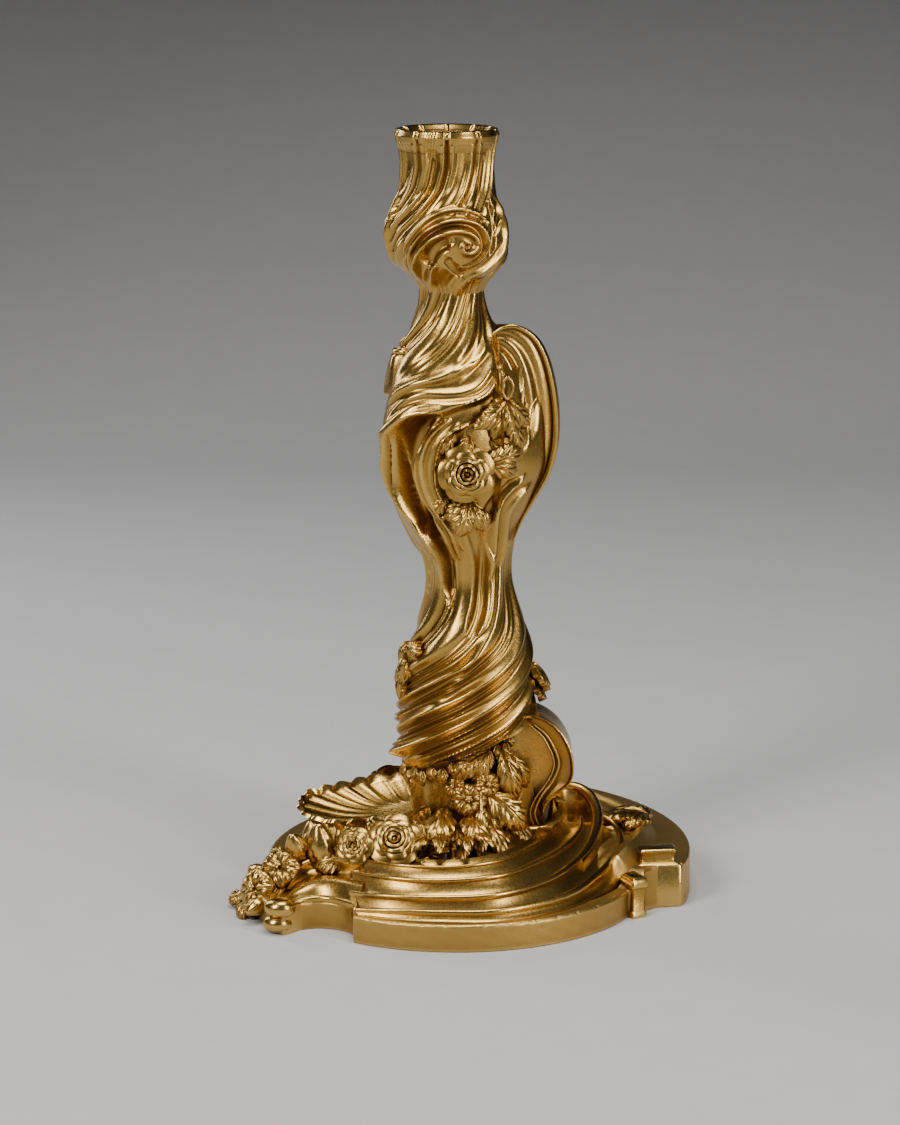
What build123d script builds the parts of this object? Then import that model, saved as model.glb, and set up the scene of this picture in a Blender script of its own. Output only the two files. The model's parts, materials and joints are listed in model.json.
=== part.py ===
from build123d import *
from math import cos, exp, pi, radians, sin
import os

# Rococo candlestick in gilt bronze, in millimetres.
# The origin is the middle of the base's box on the table. +Z is up and the front faces -Y.
# The candle axis stands left of that middle, as the base sweeps further out to the right.

# Whole object
overall_height = 308.0
socket_height = 63.0
axis_x = -7.0

# Base casting
plinth_height = 11.0
lobe_height = 17.6
rim_height = 23.0
floor_height = 25.0
casting_wall = 4.0
lobe_rim_inset = 5.0
notch_block_height = 22.0
hollow_radius = 54.0
rim_hollow_inset = 8.0
rim_hollow_height = 12.0
hollow_roof = 5.0
volute_radius = 8.0
volute_top = 38.0
scroll_wall = 6.0
scroll_height = 27.0
cartouche_front = -12.0
cartouche_thickness = 22.0
shell_radius = 26.0
shell_depth = 9.0
shell_wall = 3.0
shell_tilt = 7.0
front_left = (-43.4, -81.3)
front_middle = (5.8, -92.4)
front_right = (65.1, -50.4)
right_corner = (88.1, -34.7)
lobe_start = (89.5, -31.0)
lobe_middle = (91.5, 8.0)
lobe_end = (40.0, 84.0)
back_middle = (18.0, 91.6)
back_end = (-8.0, 92.3)
left_start = (-27.0, 84.0)
left_middle = (-66.0, 50.0)
left_end = (-80.5, -4.0)
foot_back = (-81.0, -36.0)
foot_left = (-81.5, -54.0)
foot_front = (-71.0, -73.0)

# Neck that carries the stem, and the sloping joint between the two castings
neck_x = -3.5
neck_radius = 18.5
neck_waist_height = 44.0
neck_bottom_radius = 26.0
neck_top_radius = 24.0
joint_height = 64.0
joint_slope = 16.5
cavity_radius = 11.0
cavity_top = 42.0

# Stem casting. Its shape is drawn for the first height and stretched to the second
drawn_stem_top = 245.0
stem_top = overall_height - socket_height
stem_flutes = 8
flute_depth = 0.13
waist_radius = 15.8
foot_radius = 25.5
knop_radius = 36.0
stem_neck_radius = 11.2
wing_thickness = 13.0
scroll_radius = 5.6
scroll_length = 19.0

# Socket casting and its loose liner
rim_radius = 19.6
socket_waist_radius = 18.0
belly_radius = 23.3
socket_lobes = 10
liner_floor_gap = 3.7
candle_radius = 11.0
liner_wall = 1.0
liner_flange_radius = 14.4
liner_flange_thickness = 1.2
liner_depth = 44.0
liner_clearance = 0.3
rim_recess = 2.5
liner_seat_gap = 0.2

# Tie rod and small fixings
rod_radius = 2.5
rod_clearance = 0.15
thread_engagement = 9.0
nut_width = 9.0
nut_thickness = 4.5
washer_radius = 7.0
washer_thickness = 1.5
rod_tail = 1.5
pin_radius = 1.5
pin_length = 10.0
pin_spread = 17.0
pin_clearance = 0.1
rivet_radius = 1.1
rivet_head_radius = 2.2
rivet_head_thickness = 1.2
rivet_clearance = 0.05

# Applied flowers and leaves
rose_radius = 9.2
small_rose_radius = 6.2
rose_depth = 6.0
garland_reach = -92.5
seat_gap = 0.4
stud_radius = 1.1
stud_length = 6.0

os.makedirs("parts", exist_ok=True)


def save(part, label):
    """Name a finished piece and write it."""
    part.label = label
    export_step(part, f"parts/{label}.step")


def lobed_section(plane, radius_at, points):
    """A closed smooth outline in a plane, its radius given for each angle in radians."""
    angles = [2 * pi * k / points for k in range(points)]
    with BuildSketch(plane) as section:
        with BuildLine():
            Spline(*[(radius_at(a) * cos(a), radius_at(a) * sin(a)) for a in angles], periodic=True)
        make_face()
    return section.sketch


def level(height, centre_x=0.0, centre_y=0.0):
    """A horizontal plane with its origin over a point of the table."""
    return Plane(origin=(centre_x, centre_y, height))


def facing(point, outward, up=(0, 0, 1)):
    """A plane at a point of the surface, its normal pointing outward and its Y axis near up."""
    normal = Vector(*outward).normalized()
    side = Vector(*up).cross(normal).normalized()
    return Plane(origin=point, x_dir=side, z_dir=normal)


# Undersides of the base casting inside its three hollows, from the middle to the edge
hollow_top = floor_height - hollow_roof
plinth_roof = plinth_height - casting_wall


# Plan of the base: a bowed front, a stepped notch on each side of it, a round lobe
# that runs from the right to the back, and a narrower lobe on the left
def base_plan(inset=0.0):
    with BuildSketch() as plan:
        with BuildLine():
            ThreePointArc(front_left, front_middle, front_right)
            Line(front_right, (71.0, -49.7))
            Line((71.0, -49.7), (72.3, -43.5))
            ThreePointArc((72.3, -43.5), (77.5, -38.1), right_corner)
            Line(right_corner, lobe_start)
            ThreePointArc(lobe_start, lobe_middle, lobe_end)
            ThreePointArc(lobe_end, back_middle, back_end)
            Line(back_end, (-10.5, 87.0))
            ThreePointArc((-10.5, 87.0), (-17.0, 84.5), left_start)
            ThreePointArc(left_start, left_middle, left_end)
            ThreePointArc(left_end, (-81.5, -20.0), foot_back)
            ThreePointArc(foot_back, foot_left, foot_front)
            Line(foot_front, (-65.0, -66.5))
            ThreePointArc((-65.0, -66.5), (-56.0, -64.2), (-43.9, -72.9))
            Line((-43.9, -72.9), front_left)
        make_face()
        if inset:
            offset(amount=-inset)
    return plan.sketch


# Rounded plan of the mouldings above the plinth, and the steps that they climb to the floor.
# Each step is how far in from the plan it lies, and its height
moulding_steps = [
    (0.0, plinth_height + 3.0), (2.0, plinth_height + 4.5), (6.0, floor_height - 7.5),
    (8.0, floor_height - 6.0), (12.0, floor_height - 3.0), (14.0, floor_height - 2.0), (17.0, floor_height),
]


def moulding_plan(inset):
    with BuildSketch() as plan:
        with BuildLine():
            ThreePointArc((-56.0, -55.0), (5.0, -84.0), (62.0, -46.0))
            ThreePointArc((62.0, -46.0), (80.0, 5.0), (55.0, 58.0))
            ThreePointArc((55.0, 58.0), (8.0, 82.0), (-44.0, 62.0))
            ThreePointArc((-44.0, 62.0), (-71.0, 8.0), (-56.0, -55.0))
        make_face()
        if inset:
            offset(amount=-inset)
    return plan.sketch


def lobe_plan(inset=0.0):
    """The right and back lobe of the base only."""
    with BuildSketch() as plan:
        add(base_plan(inset))
        with BuildLine():
            Polyline((50, -20), (73, -41), (110, -41), (110, 110), (-15, 110), (-15, 60), close=True)
        make_face(mode=Mode.INTERSECT)
    return plan.sketch


# Tie rod: it runs on the candle axis from the cavity of the neck up into the socket's floor
nut_seat = cavity_top
rod_bottom = nut_seat - washer_thickness - nut_thickness - rod_tail
rod_top = stem_top + thread_engagement
with BuildPart() as tie_rod:
    with BuildSketch(level(rod_bottom, axis_x)):
        Circle(rod_radius)
    extrude(amount=rod_top - rod_bottom)
    chamfer(tie_rod.edges().filter_by(GeomType.CIRCLE), length=0.6)
save(tie_rod.part, "tie_rod")

with BuildPart() as base_washer:
    with BuildSketch(level(nut_seat - washer_thickness, axis_x)):
        Circle(washer_radius)
        Circle(rod_radius + rod_clearance, mode=Mode.SUBTRACT)
    extrude(amount=washer_thickness)
save(base_washer.part, "base_washer")

with BuildPart() as base_nut:
    with BuildSketch(level(nut_seat - washer_thickness - nut_thickness, axis_x)):
        RegularPolygon(nut_width / 2, 6, major_radius=False)
        Circle(rod_radius + rod_clearance, mode=Mode.SUBTRACT)
    extrude(amount=nut_thickness)
save(base_nut.part, "base_nut")

# Steady pins: they stand square to the sloping joint and keep the stem from turning
joint_plane = Plane(origin=(0, 0, joint_height)).rotated((0, -joint_slope, 0))
pin_places = [(-pin_spread + 2, 0), (pin_spread, 6)]
with BuildPart() as steady_pins:
    with BuildSketch(joint_plane.offset(-pin_length / 2)):
        with Locations(*pin_places):
            Circle(pin_radius)
    extrude(amount=pin_length)
save(steady_pins.part, "steady_pins")


def rod_hole(bottom, top):
    """A clear hole for the tie rod."""
    with BuildSketch(level(bottom, axis_x)) as hole:
        Circle(rod_radius + rod_clearance)
    extrude(hole.sketch, amount=top - bottom, mode=Mode.SUBTRACT)


def pin_holes():
    """Holes for the steady pins, on both sides of the joint."""
    with BuildSketch(joint_plane.offset(-pin_length / 2 - pin_clearance)) as holes:
        with Locations(*pin_places):
            Circle(pin_radius + pin_clearance)
    extrude(holes.sketch, amount=pin_length + 2 * pin_clearance, mode=Mode.SUBTRACT)


# Shapes of the applied flowers and leaves
def rose(plane, radius, depth=rose_depth):
    """Three rings of five petals, each higher and narrower than the last."""
    with BuildPart() as flower:
        for ring, (share, rise) in enumerate([(1.0, 0.45), (0.72, 0.75), (0.42, 1.0)]):
            size = radius * share
            with BuildSketch(plane):
                Circle(0.6 * size)
                with PolarLocations(0.55 * size, 5, start_angle=36 * ring):
                    Circle(0.45 * size)
            extrude(amount=depth * rise)
    return flower.part


def leaf(plane, length, width, thickness, lobes=3):
    """A lobed leaf, its stalk at the plane's origin and its tip on +Y."""
    steps = 6 * lobes
    edge = []
    for k in range(1, steps):
        along = k / steps
        half = width / 2 * sin(pi * along**0.8) * (0.72 + 0.28 * abs(sin(lobes * pi * along)))
        edge.append((half + 0.4, length * along))
    with BuildPart() as blade:
        with BuildSketch(plane):
            with BuildLine():
                Polyline((0.6, 0), *edge, (0, length), *[(-x, y) for x, y in reversed(edge)], (-0.6, 0),
                         close=True)
            make_face()
        extrude(amount=thickness)
    return blade.part


def bud(x, y, bottom, length, radius):
    """A closed upright bud."""
    with BuildPart() as body:
        with BuildSketch(Plane(origin=(x, y, bottom), x_dir=(1, 0, 0), z_dir=(0, -1, 0))):
            with BuildLine():
                Line((0, 0), (0.5 * radius, 0))
                Spline((0.5 * radius, 0), (radius, 0.4 * length), (0.55 * radius, 0.8 * length), (0, length))
                Line((0, length), (0, 0))
            make_face()
        revolve(axis=Axis((x, y, bottom), (0, 0, 1)))
    return body.part


# Rivets that hold the flowers of the base. Each group bears on one underside, and each rivet
# has its place and its top inside the flower
rivet_groups = {
    hollow_top: [
        (-27.0, -43.0, 28.0), (-43.0, -46.0, 27.0), (-8.0, -45.0, 28.0), (-30.0, 42.0, 28.0),
    ],
    rim_hollow_height: [(68.0, 10.0, 23.6), (8.0, 66.0, 26.5)],
    plinth_roof: [(-57.0, -42.0, 24.0), (-72.0, -43.0, 16.0)],
}


def rivets(clearance):
    """All rivets, each a shank with a flat head under the casting, drawn out by a clearance."""
    with BuildPart() as group:
        for underside, places in rivet_groups.items():
            for x, y, top in places:
                with BuildSketch(level(underside - rivet_head_thickness, x, y)):
                    Circle(rivet_head_radius + clearance)
                extrude(amount=rivet_head_thickness)
                with BuildSketch(level(underside, x, y)):
                    Circle(rivet_radius + clearance)
                extrude(amount=top - underside + clearance)
    return group.part


rivet_holes = rivets(rivet_clearance)
with BuildPart() as ornament_rivets:
    add(rivets(0.0))
save(ornament_rivets.part, "ornament_rivets")


def stretched(height):
    """A height of the stem as drawn, moved in step with the stem's real top."""
    share = (stem_top - joint_height) / (drawn_stem_top - joint_height)
    return joint_height + (height - joint_height) * share


# Stem casting: a fluted, twisting foot, a narrow waist, a lobed knop and a twisted neck.
# Each row is the height as drawn, the middle's x, the radius, the flutes' share, the turn
# in degrees, and the lobes' share
drawn_rows = [
    (46.0, 1.0, foot_radius - 1.0, 1.0, -112, 0.0),
    (60.0, 1.0, foot_radius, 1.0, -84, 0.0),
    (74.0, 0.8, foot_radius, 1.0, -57, 0.0),
    (88.0, 0.8, foot_radius - 0.5, 1.0, -36, 0.0),
    (99.0, 2.2, foot_radius - 1.7, 0.9, -23, 0.0),
    (108.0, 2.8, 21.6, 0.8, -13, 0.0),
    (117.0, 2.7, 17.8, 0.7, -6, 0.0),
    (127.0, 1.9, waist_radius, 0.6, 0, 0.0),
    (138.0, 1.2, waist_radius + 1.1, 0.5, 4, 0.0),
    (148.0, -1.4, 22.4, 0.35, 8, 0.10),
    (160.0, -2.0, 29.5, 0.25, 12, 0.16),
    (175.0, -1.2, knop_radius - 0.6, 0.2, 16, 0.20),
    (192.0, -1.5, knop_radius, 0.2, 22, 0.22),
    (206.0, -0.6, knop_radius - 3.0, 0.25, 36, 0.22),
    (217.0, -2.5, 27.5, 0.4, 56, 0.16),
    (226.0, -4.0, 19.5, 0.6, 76, 0.06),
    (234.0, -4.9, 13.4, 0.7, 92, 0.0),
    (241.0, -5.0, stem_neck_radius, 0.7, 104, 0.0),
    (drawn_stem_top, -5.4, stem_neck_radius + 0.2, 0.6, 110, 0.0),
]
stem_rows = [(stretched(height), *rest) for height, *rest in drawn_rows]
lobe_angles = (-8, 112, 215)
lobe_spread = 32.0
stem_step = 11.0
turn_step = 11.0


def stem_levels():
    """The rows, with more levels between them where they lie or turn far apart."""
    levels = []
    for row, after in zip(stem_rows, stem_rows[1:]):
        count = max(1, round((after[0] - row[0]) / stem_step), round((after[4] - row[4]) / turn_step))
        for k in range(count):
            share = k / count
            levels.append([a + (b - a) * share for a, b in zip(row, after)])
    levels.append(stem_rows[-1])
    return levels


def stem_radius(radius, flutes, turn, lobes):
    """The stem's section: rounded flutes, and three broad lobes on the knop."""

    def at(angle):
        flute = 1 - abs(cos(stem_flutes / 2 * (angle - radians(turn))))
        away = [(angle * 180 / pi - a - turn / 4 + 180) % 360 - 180 for a in lobe_angles]
        lobe = 1 - max(exp(-((d / lobe_spread) ** 2)) for d in away)
        return radius * (1 - flute_depth * flutes * flute - lobes * lobe)

    return at


def stem_row(height):
    """The row at any height, drawn evenly between the rows given."""
    for row, after in zip(stem_rows, stem_rows[1:]):
        if row[0] <= height <= after[0]:
            share = (height - row[0]) / (after[0] - row[0])
            return [a + (b - a) * share for a, b in zip(row, after)]


def stem_reach(angle, height):
    """How far the stem's surface stands from its middle at an angle in degrees."""
    _, _, radius, flutes, turn, lobes = stem_row(height)
    return stem_radius(radius, flutes, turn, lobes)(radians(angle))


def on_stem(angle, height, up=(0, 0, 1)):
    """A plane just clear of the stem's surface, at an angle in degrees and a height as drawn."""
    height = stretched(height)
    slope = (stem_reach(angle, height + 3) - stem_reach(angle, height - 3)) / 6
    reach = max(stem_reach(angle + aside, height) for aside in range(-16, 17, 2)) + seat_gap
    across = (cos(radians(angle)), sin(radians(angle)))
    point = (stem_row(height)[1] + reach * across[0], reach * across[1], height)
    return facing(point, (across[0], across[1], -slope), up)


# Studs that hold the flowers of the stem: half in the casting and half in the flower
stud_places = [
    (272, 176.4), (306, 205.0), (292, 181.0), (270, 160.0),
    (52, 178.0), (52, 193.0), (186, 84.0), (10, 88.0),
]


def studs(clearance):
    with BuildPart() as group:
        for angle, height in stud_places:
            with BuildSketch(on_stem(angle, height).offset(-stud_length * 0.6 - clearance)):
                Circle(stud_radius + clearance)
            extrude(amount=stud_length + 2 * clearance)
    return group.part


stud_holes = studs(rivet_clearance)
with BuildPart() as stem_studs:
    add(studs(0.0))
save(stem_studs.part, "stem_studs")

# The knop's right wing seen from the front: x and height as drawn
wing_outline = [
    (8, 222), (15, 230.6), (23, 229), (30, 216), (34.6, 200), (35, 186), (32, 171), (20, 162), (6, 190),
]
# The stem's hollow core: height as drawn, middle's x and radius
core_rows = [
    (40.0, 0.0, 14.0), (88.0, 0.0, 15.0), (110.0, 0.0, 9.0), (130.0, -1.0, 7.6),
    (150.0, -3.0, 11.0), (178.0, -4.0, 19.0), (204.0, -4.5, 16.0), (222.0, -6.0, 7.0),
]

with BuildPart() as stem_casting:
    loft(sections=[
        lobed_section(level(height, middle), stem_radius(radius, flutes, turn, lobes), 4 * stem_flutes)
        for height, middle, radius, flutes, turn, lobes in stem_levels()
    ])
    # the sloping joint face at the bottom
    split(bisect_by=joint_plane, keep=Keep.TOP)
    # right wing of the knop: a standing scroll, round at its lip
    with BuildSketch(Plane.XZ.offset(-wing_thickness / 2)):
        with BuildLine():
            Spline(*[(x, stretched(height)) for x, height in wing_outline], periodic=True)
        make_face()
    extrude(amount=wing_thickness)
    # small rolled scroll on the left shoulder
    with BuildSketch(level(stretched(201.0), -25.0, 2.0)):
        Circle(scroll_radius)
    extrude(amount=scroll_length)

    # hollow core, open at the joint
    loft(sections=[
        lobed_section(level(stretched(height), middle), lambda a, r=radius: r, 8)
        for height, middle, radius in core_rows
    ], mode=Mode.SUBTRACT)
    rod_hole(cavity_top, stem_top)
    pin_holes()
    add(stud_holes, mode=Mode.SUBTRACT)
save(stem_casting.part, "stem_casting")


# Socket casting: it grows from the neck, swells into a lobed belly and opens at a scalloped rim.
# Each row is the height, the middle's x, the radius and the turn of the lobes in degrees
socket_rows = [
    (stem_top, -5.0, stem_neck_radius, -38),
    (stem_top + 4.0, -5.0, 13.8, -33),
    (stem_top + 7.5, -5.6, 17.0, -28),
    (stem_top + 12.0, -6.2, 21.2, -23),
    (stem_top + 20.0, -6.6, belly_radius, -15),
    (stem_top + 26.5, -7.0, belly_radius - 0.2, -9),
    (stem_top + 33.0, -7.4, 20.8, -4),
    (overall_height - 22.0, axis_x, socket_waist_radius + 0.4, 0),
    (overall_height - 13.0, axis_x, socket_waist_radius + 0.2, 0),
    (overall_height - 5.0, axis_x, rim_radius, 0),
    (overall_height, axis_x, rim_radius - 0.2, 0),
]
socket_lobe_depth = 0.06
flange_seat = overall_height - rim_recess
flange_bottom = flange_seat + liner_seat_gap
socket_floor = flange_bottom - liner_depth - liner_floor_gap


def socket_radius(radius, turn):
    """The socket's section: rounded lobes with narrow valleys."""

    def at(angle):
        valley = 1 - abs(cos(socket_lobes / 2 * (angle - radians(turn))))
        return radius * (1 - socket_lobe_depth * valley)

    return at


liner_radius = candle_radius + liner_wall
with BuildPart() as candle_socket:
    loft(sections=[
        lobed_section(level(height, middle), socket_radius(radius, turn), 60)
        for height, middle, radius, turn in socket_rows
    ])
    with BuildSketch(level(socket_floor, axis_x)):
        Circle(liner_radius + liner_clearance)
    extrude(amount=overall_height - socket_floor, mode=Mode.SUBTRACT)
    with BuildSketch(level(flange_seat, axis_x)):
        Circle(liner_flange_radius + liner_clearance)
    extrude(amount=rim_recess, mode=Mode.SUBTRACT)
    rod_hole(stem_top, rod_top + rod_clearance)
save(candle_socket.part, "candle_socket")

# Loose liner that grips the candle: a thin cup hung by its flange in the socket's rim
with BuildPart() as socket_liner:
    with BuildSketch(level(flange_bottom, axis_x)):
        Circle(liner_flange_radius)
    extrude(amount=liner_flange_thickness)
    with BuildSketch(level(flange_bottom - liner_depth, axis_x)):
        Circle(liner_radius)
    extrude(amount=liner_depth)
    with BuildSketch(level(flange_bottom - liner_depth + liner_wall, axis_x)):
        Circle(candle_radius)
    extrude(amount=liner_depth + liner_flange_thickness, mode=Mode.SUBTRACT)
save(socket_liner.part, "socket_liner")


# Base casting
def neck_column():
    """The flared column under the stem, before the sloping joint trims it."""
    with BuildPart() as column:
        with BuildSketch(Plane(origin=(neck_x, 0, 0), x_dir=(1, 0, 0), z_dir=(0, -1, 0))):
            with BuildLine():
                bottom = (neck_bottom_radius, hollow_top)
                top = (neck_top_radius, joint_height + 10)
                ThreePointArc(bottom, (neck_radius, neck_waist_height), top)
                Polyline(top, (0, top[1]), (0, bottom[1]), bottom)
            make_face()
        revolve(axis=Axis((neck_x, 0, 0), (0, 0, 1)))
    return column.part


def neck():
    with BuildPart() as pillar:
        add(neck_column())
        split(bisect_by=joint_plane, keep=Keep.BOTTOM)
    return pillar.part


def stem_foot():
    """The room that the foot of the stem takes above the sloping joint."""
    with BuildPart() as room:
        with BuildSketch(level(joint_height - foot_radius, stem_rows[0][1])):
            Circle(foot_radius + seat_gap)
        extrude(amount=2 * foot_radius)
        split(bisect_by=joint_plane, keep=Keep.TOP)
    return room.part


def cartouche():
    """The standing S-shaped scroll on the right of the stem's foot."""
    with BuildPart() as scroll:
        with BuildSketch(Plane(origin=(0, cartouche_front, 0), x_dir=(1, 0, 0), z_dir=(0, -1, 0))):
            with BuildLine():
                ThreePointArc((15, 20), (15, 44), (20, 66))
                ThreePointArc((20, 66), (27, 72.6), (37, 68))
                ThreePointArc((37, 68), (44.2, 52), (38, 40.5))
                ThreePointArc((38, 40.5), (31.4, 31), (38, 20))
                Line((38, 20), (15, 20))
            make_face()
        extrude(amount=-cartouche_thickness)
        add(stem_foot(), mode=Mode.SUBTRACT)
    return scroll.part


def shell_dish():
    """The shell on the left: a shallow bowl, tipped towards the left."""
    stand = Plane(origin=(-38.0, -1.0, 35.0)).rotated((0, -shell_tilt, 0))
    shell_bottom = -shell_depth - 3 * shell_wall
    upright = Plane(origin=stand.origin, x_dir=stand.x_dir, z_dir=-stand.y_dir)
    with BuildPart() as dish:
        with BuildSketch(upright):
            with BuildLine():
                ThreePointArc((0, -shell_depth), (0.6 * shell_radius, -0.75 * shell_depth),
                              (shell_radius, 0))
                Line((shell_radius, 0), (shell_radius - 1, -shell_wall))
                ThreePointArc((shell_radius - 1, -shell_wall), (0.7 * shell_radius, -shell_depth - shell_wall),
                              (0.4 * shell_radius, shell_bottom))
                Polyline((0.4 * shell_radius, shell_bottom), (0, shell_bottom), (0, -shell_depth))
            make_face()
        revolve(axis=Axis(stand.origin, stand.z_dir))
    return dish.part


def scroll_arm():
    """The wall of the right-hand scroll, which sweeps in from the mouldings to its volute."""
    with BuildPart() as arm:
        with BuildSketch():
            with BuildLine():
                ThreePointArc((52, -46), (66, -18), (46, 3 + volute_radius))
                Line((46, 3 + volute_radius), (46, 3 + volute_radius - scroll_wall))
                ThreePointArc((46, 3 + volute_radius - scroll_wall), (60, -18), (46, -44))
                Line((46, -44), (52, -46))
            make_face()
        extrude(amount=scroll_height)
    return arm.part


def underside_hollows():
    """Empty the room under the base, up to the undersides of the casting."""
    extrude(base_plan(casting_wall), amount=plinth_roof, mode=Mode.SUBTRACT)
    extrude(moulding_plan(rim_hollow_inset), amount=rim_hollow_height, mode=Mode.SUBTRACT)
    with BuildSketch() as middle:
        Circle(hollow_radius)
    extrude(middle.sketch, amount=hollow_top, mode=Mode.SUBTRACT)


def stepped_floor():
    """The plinth and the mouldings that climb from it to the floor, before they are hollowed."""
    with BuildPart() as floor:
        extrude(base_plan(), amount=plinth_height)
        for inset, height in moulding_steps:
            extrude(moulding_plan(inset), amount=height)
    return floor.part


with BuildPart() as base_casting:
    add(stepped_floor())
    extrude(lobe_plan(), amount=lobe_height)
    extrude(lobe_plan(lobe_rim_inset), amount=rim_height)
    # block over the right-hand notch
    with BuildSketch():
        with Locations((70.0, -34.0)):
            Rectangle(12.0, 12.0)
    extrude(amount=notch_block_height)
    add(scroll_arm())
    # volute of that scroll, and one on the hidden side
    for x, y, top in [(46.0, 3.0, volute_top), (22.0, 44.0, volute_top - 5)]:
        with BuildSketch(level(hollow_top, x, y)):
            Circle(volute_radius)
        extrude(amount=top - hollow_top)
    add(neck())
    add(cartouche())
    add(shell_dish())
    # hollow underside and the cavity of the neck
    underside_hollows()
    with BuildSketch(level(0, axis_x)):
        Circle(cavity_radius)
    extrude(amount=cavity_top, mode=Mode.SUBTRACT)
    rod_hole(cavity_top, joint_height + 20)
    pin_holes()
    add(rivet_holes, mode=Mode.SUBTRACT)
save(base_casting.part, "base_casting")


def bedded(*carriers):
    """Cut a piece away where it would run into what carries it, and at the rivets."""
    for carrier in carriers:
        add(carrier, mode=Mode.SUBTRACT)
    add(rivet_holes, mode=Mode.SUBTRACT)


# Flowers on the floor of the base, from the middle to the left corner
with BuildPart() as large_rose:
    add(rose(facing((-27.6, -46.0, 29.0), (-0.05, -0.75, 0.65)), rose_radius))
    bedded(base_casting.part)
save(large_rose.part, "large_rose")

with BuildPart() as small_rose:
    add(rose(facing((-43.5, -48.5, 28.0), (-0.1, -0.8, 0.6)), small_rose_radius))
    bedded(base_casting.part, large_rose.part)
save(small_rose.part, "small_rose")

with BuildPart() as tulip_bud:
    add(bud(-57.0, -42.0, plinth_height, 26.0, 6.5))
    bedded(stepped_floor(), small_rose.part)
save(tulip_bud.part, "tulip_bud")

# Corner garland: round blossoms heaped over the left corner, each with its middle and radius
blossom_radius = 8.5
blossoms = [
    (garland_reach + blossom_radius, -42.0, 7.0, blossom_radius), (-77.0, -47.0, 13.5, 7.5),
    (-71.0, -41.5, 18.0, 6.6), (-82.0, -53.5, 6.5, 7.6), (-68.0, -36.5, 21.0, 5.2),
]
with BuildPart() as corner_garland:
    for x, y, z, radius in blossoms:
        with Locations((x, y, z)):
            Sphere(radius)
    split(bisect_by=Plane.XY, keep=Keep.TOP)
    bedded(stepped_floor())
save(corner_garland.part, "corner_garland")

with BuildPart() as floor_acanthus:
    add(leaf(facing((-8.0, -40.0, floor_height), (0, -0.1, 1), (0, -1, 0)), 15.0, 16.0, 5.0))
    bedded(base_casting.part)
save(floor_acanthus.part, "floor_acanthus")


def sprig(x, y, height, thickness, leaves):
    """Leaves that lie flat and spread from one point, each with its direction and its length."""
    with BuildPart() as spray:
        for turn, length in leaves:
            tip = (cos(radians(turn)), sin(radians(turn)), 0)
            add(leaf(facing((x, y, height), (0, 0, 1), tip), length, 9.0, thickness))
    return spray.part


with BuildPart() as oak_leaf_sprig:
    add(sprig(74.0, 12.0, rim_height, 2.0, [(205, 24.0), (165, 18.0), (120, 15.0)]))
    bedded(base_casting.part)
save(oak_leaf_sprig.part, "oak_leaf_sprig")

with BuildPart() as back_rose:
    add(rose(facing((-32.0, 42.0, 29.0), (-0.3, 0.6, 0.75)), rose_radius))
    bedded(base_casting.part)
save(back_rose.part, "back_rose")

with BuildPart() as back_acanthus:
    add(sprig(6.0, 70.0, rim_height, 4.0, [(20, 16.0), (80, 12.0), (150, 20.0)]))
    bedded(base_casting.part)
save(back_acanthus.part, "back_acanthus")

# Bouquet that hangs under the stem's collar, in front of the neck
with BuildPart() as bouquet_leaves:
    for place, outward, tip, length, width, thickness in [
        ((7.0, -16.0, 58.0), (-0.1, -1, 0.1), (-10, 0, -11), 16.0, 9.0, 7.0),
        ((11.0, -13.0, 57.0), (0.1, -1, 0.1), (4, 0, -18), 20.0, 9.0, 6.0),
        ((8.0, -13.0, 44.0), (0.1, -1, 0.3), (14, 0, -15), 21.0, 12.0, 7.0),
    ]:
        add(leaf(facing(place, outward, tip), length, width, thickness))
    bedded(neck_column(), cartouche(), stem_foot())
save(bouquet_leaves.part, "bouquet_leaves")

with BuildPart() as bouquet_flowers:
    add(rose(facing((1.0, -16.0, 40.5), (0.0, -1, 0.25)), 7.5, 9.0))
    bedded(neck_column(), bouquet_leaves.part)
save(bouquet_flowers.part, "bouquet_flowers")

with BuildPart() as hanging_bud:
    add(bud(7.0, -30.0, floor_height, 11.0, 3.0))
save(hanging_bud.part, "hanging_bud")


# Leaves and roses of the stem, each seated at an angle and a height of its surface and held by a stud
def applied(shapes):
    for shape in shapes:
        add(shape)
    add(stud_holes, mode=Mode.SUBTRACT)


with BuildPart() as collar_leaf_right:
    applied([leaf(on_stem(10, 93.0, (0.0, 0.0, -1)), 15.0, 11.0, 7.0)])
save(collar_leaf_right.part, "collar_leaf_right")

with BuildPart() as collar_leaf_left:
    applied([leaf(on_stem(186, 78.0), 18.0, 10.0, 3.0)])
save(collar_leaf_left.part, "collar_leaf_left")

with BuildPart() as knop_rose:
    applied([rose(on_stem(272, 176.4), rose_radius)])
save(knop_rose.part, "knop_rose")

with BuildPart() as knop_upper_leaves:
    applied([
        leaf(on_stem(306, 205.0, (-10, 0, -8)), 14.0, 7.0, 3.0),
        leaf(on_stem(306, 205.0, (8, 4, -20)), 18.0, 9.0, 3.0),
    ])
save(knop_upper_leaves.part, "knop_upper_leaves")

with BuildPart() as knop_side_leaf:
    applied([leaf(on_stem(296, 181.0, (1, 0.5, 0)), 13.0, 9.0, 3.0)])
    add(knop_rose.part, mode=Mode.SUBTRACT)
save(knop_side_leaf.part, "knop_side_leaf")

with BuildPart() as knop_lower_leaf:
    applied([leaf(on_stem(270, 165.0, (0, 0, -1)), 15.0, 12.0, 3.0)])
    add(knop_rose.part, mode=Mode.SUBTRACT)
save(knop_lower_leaf.part, "knop_lower_leaf")

with BuildPart() as knop_back_rose:
    applied([rose(on_stem(52, 178.0), rose_radius)])
save(knop_back_rose.part, "knop_back_rose")

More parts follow.
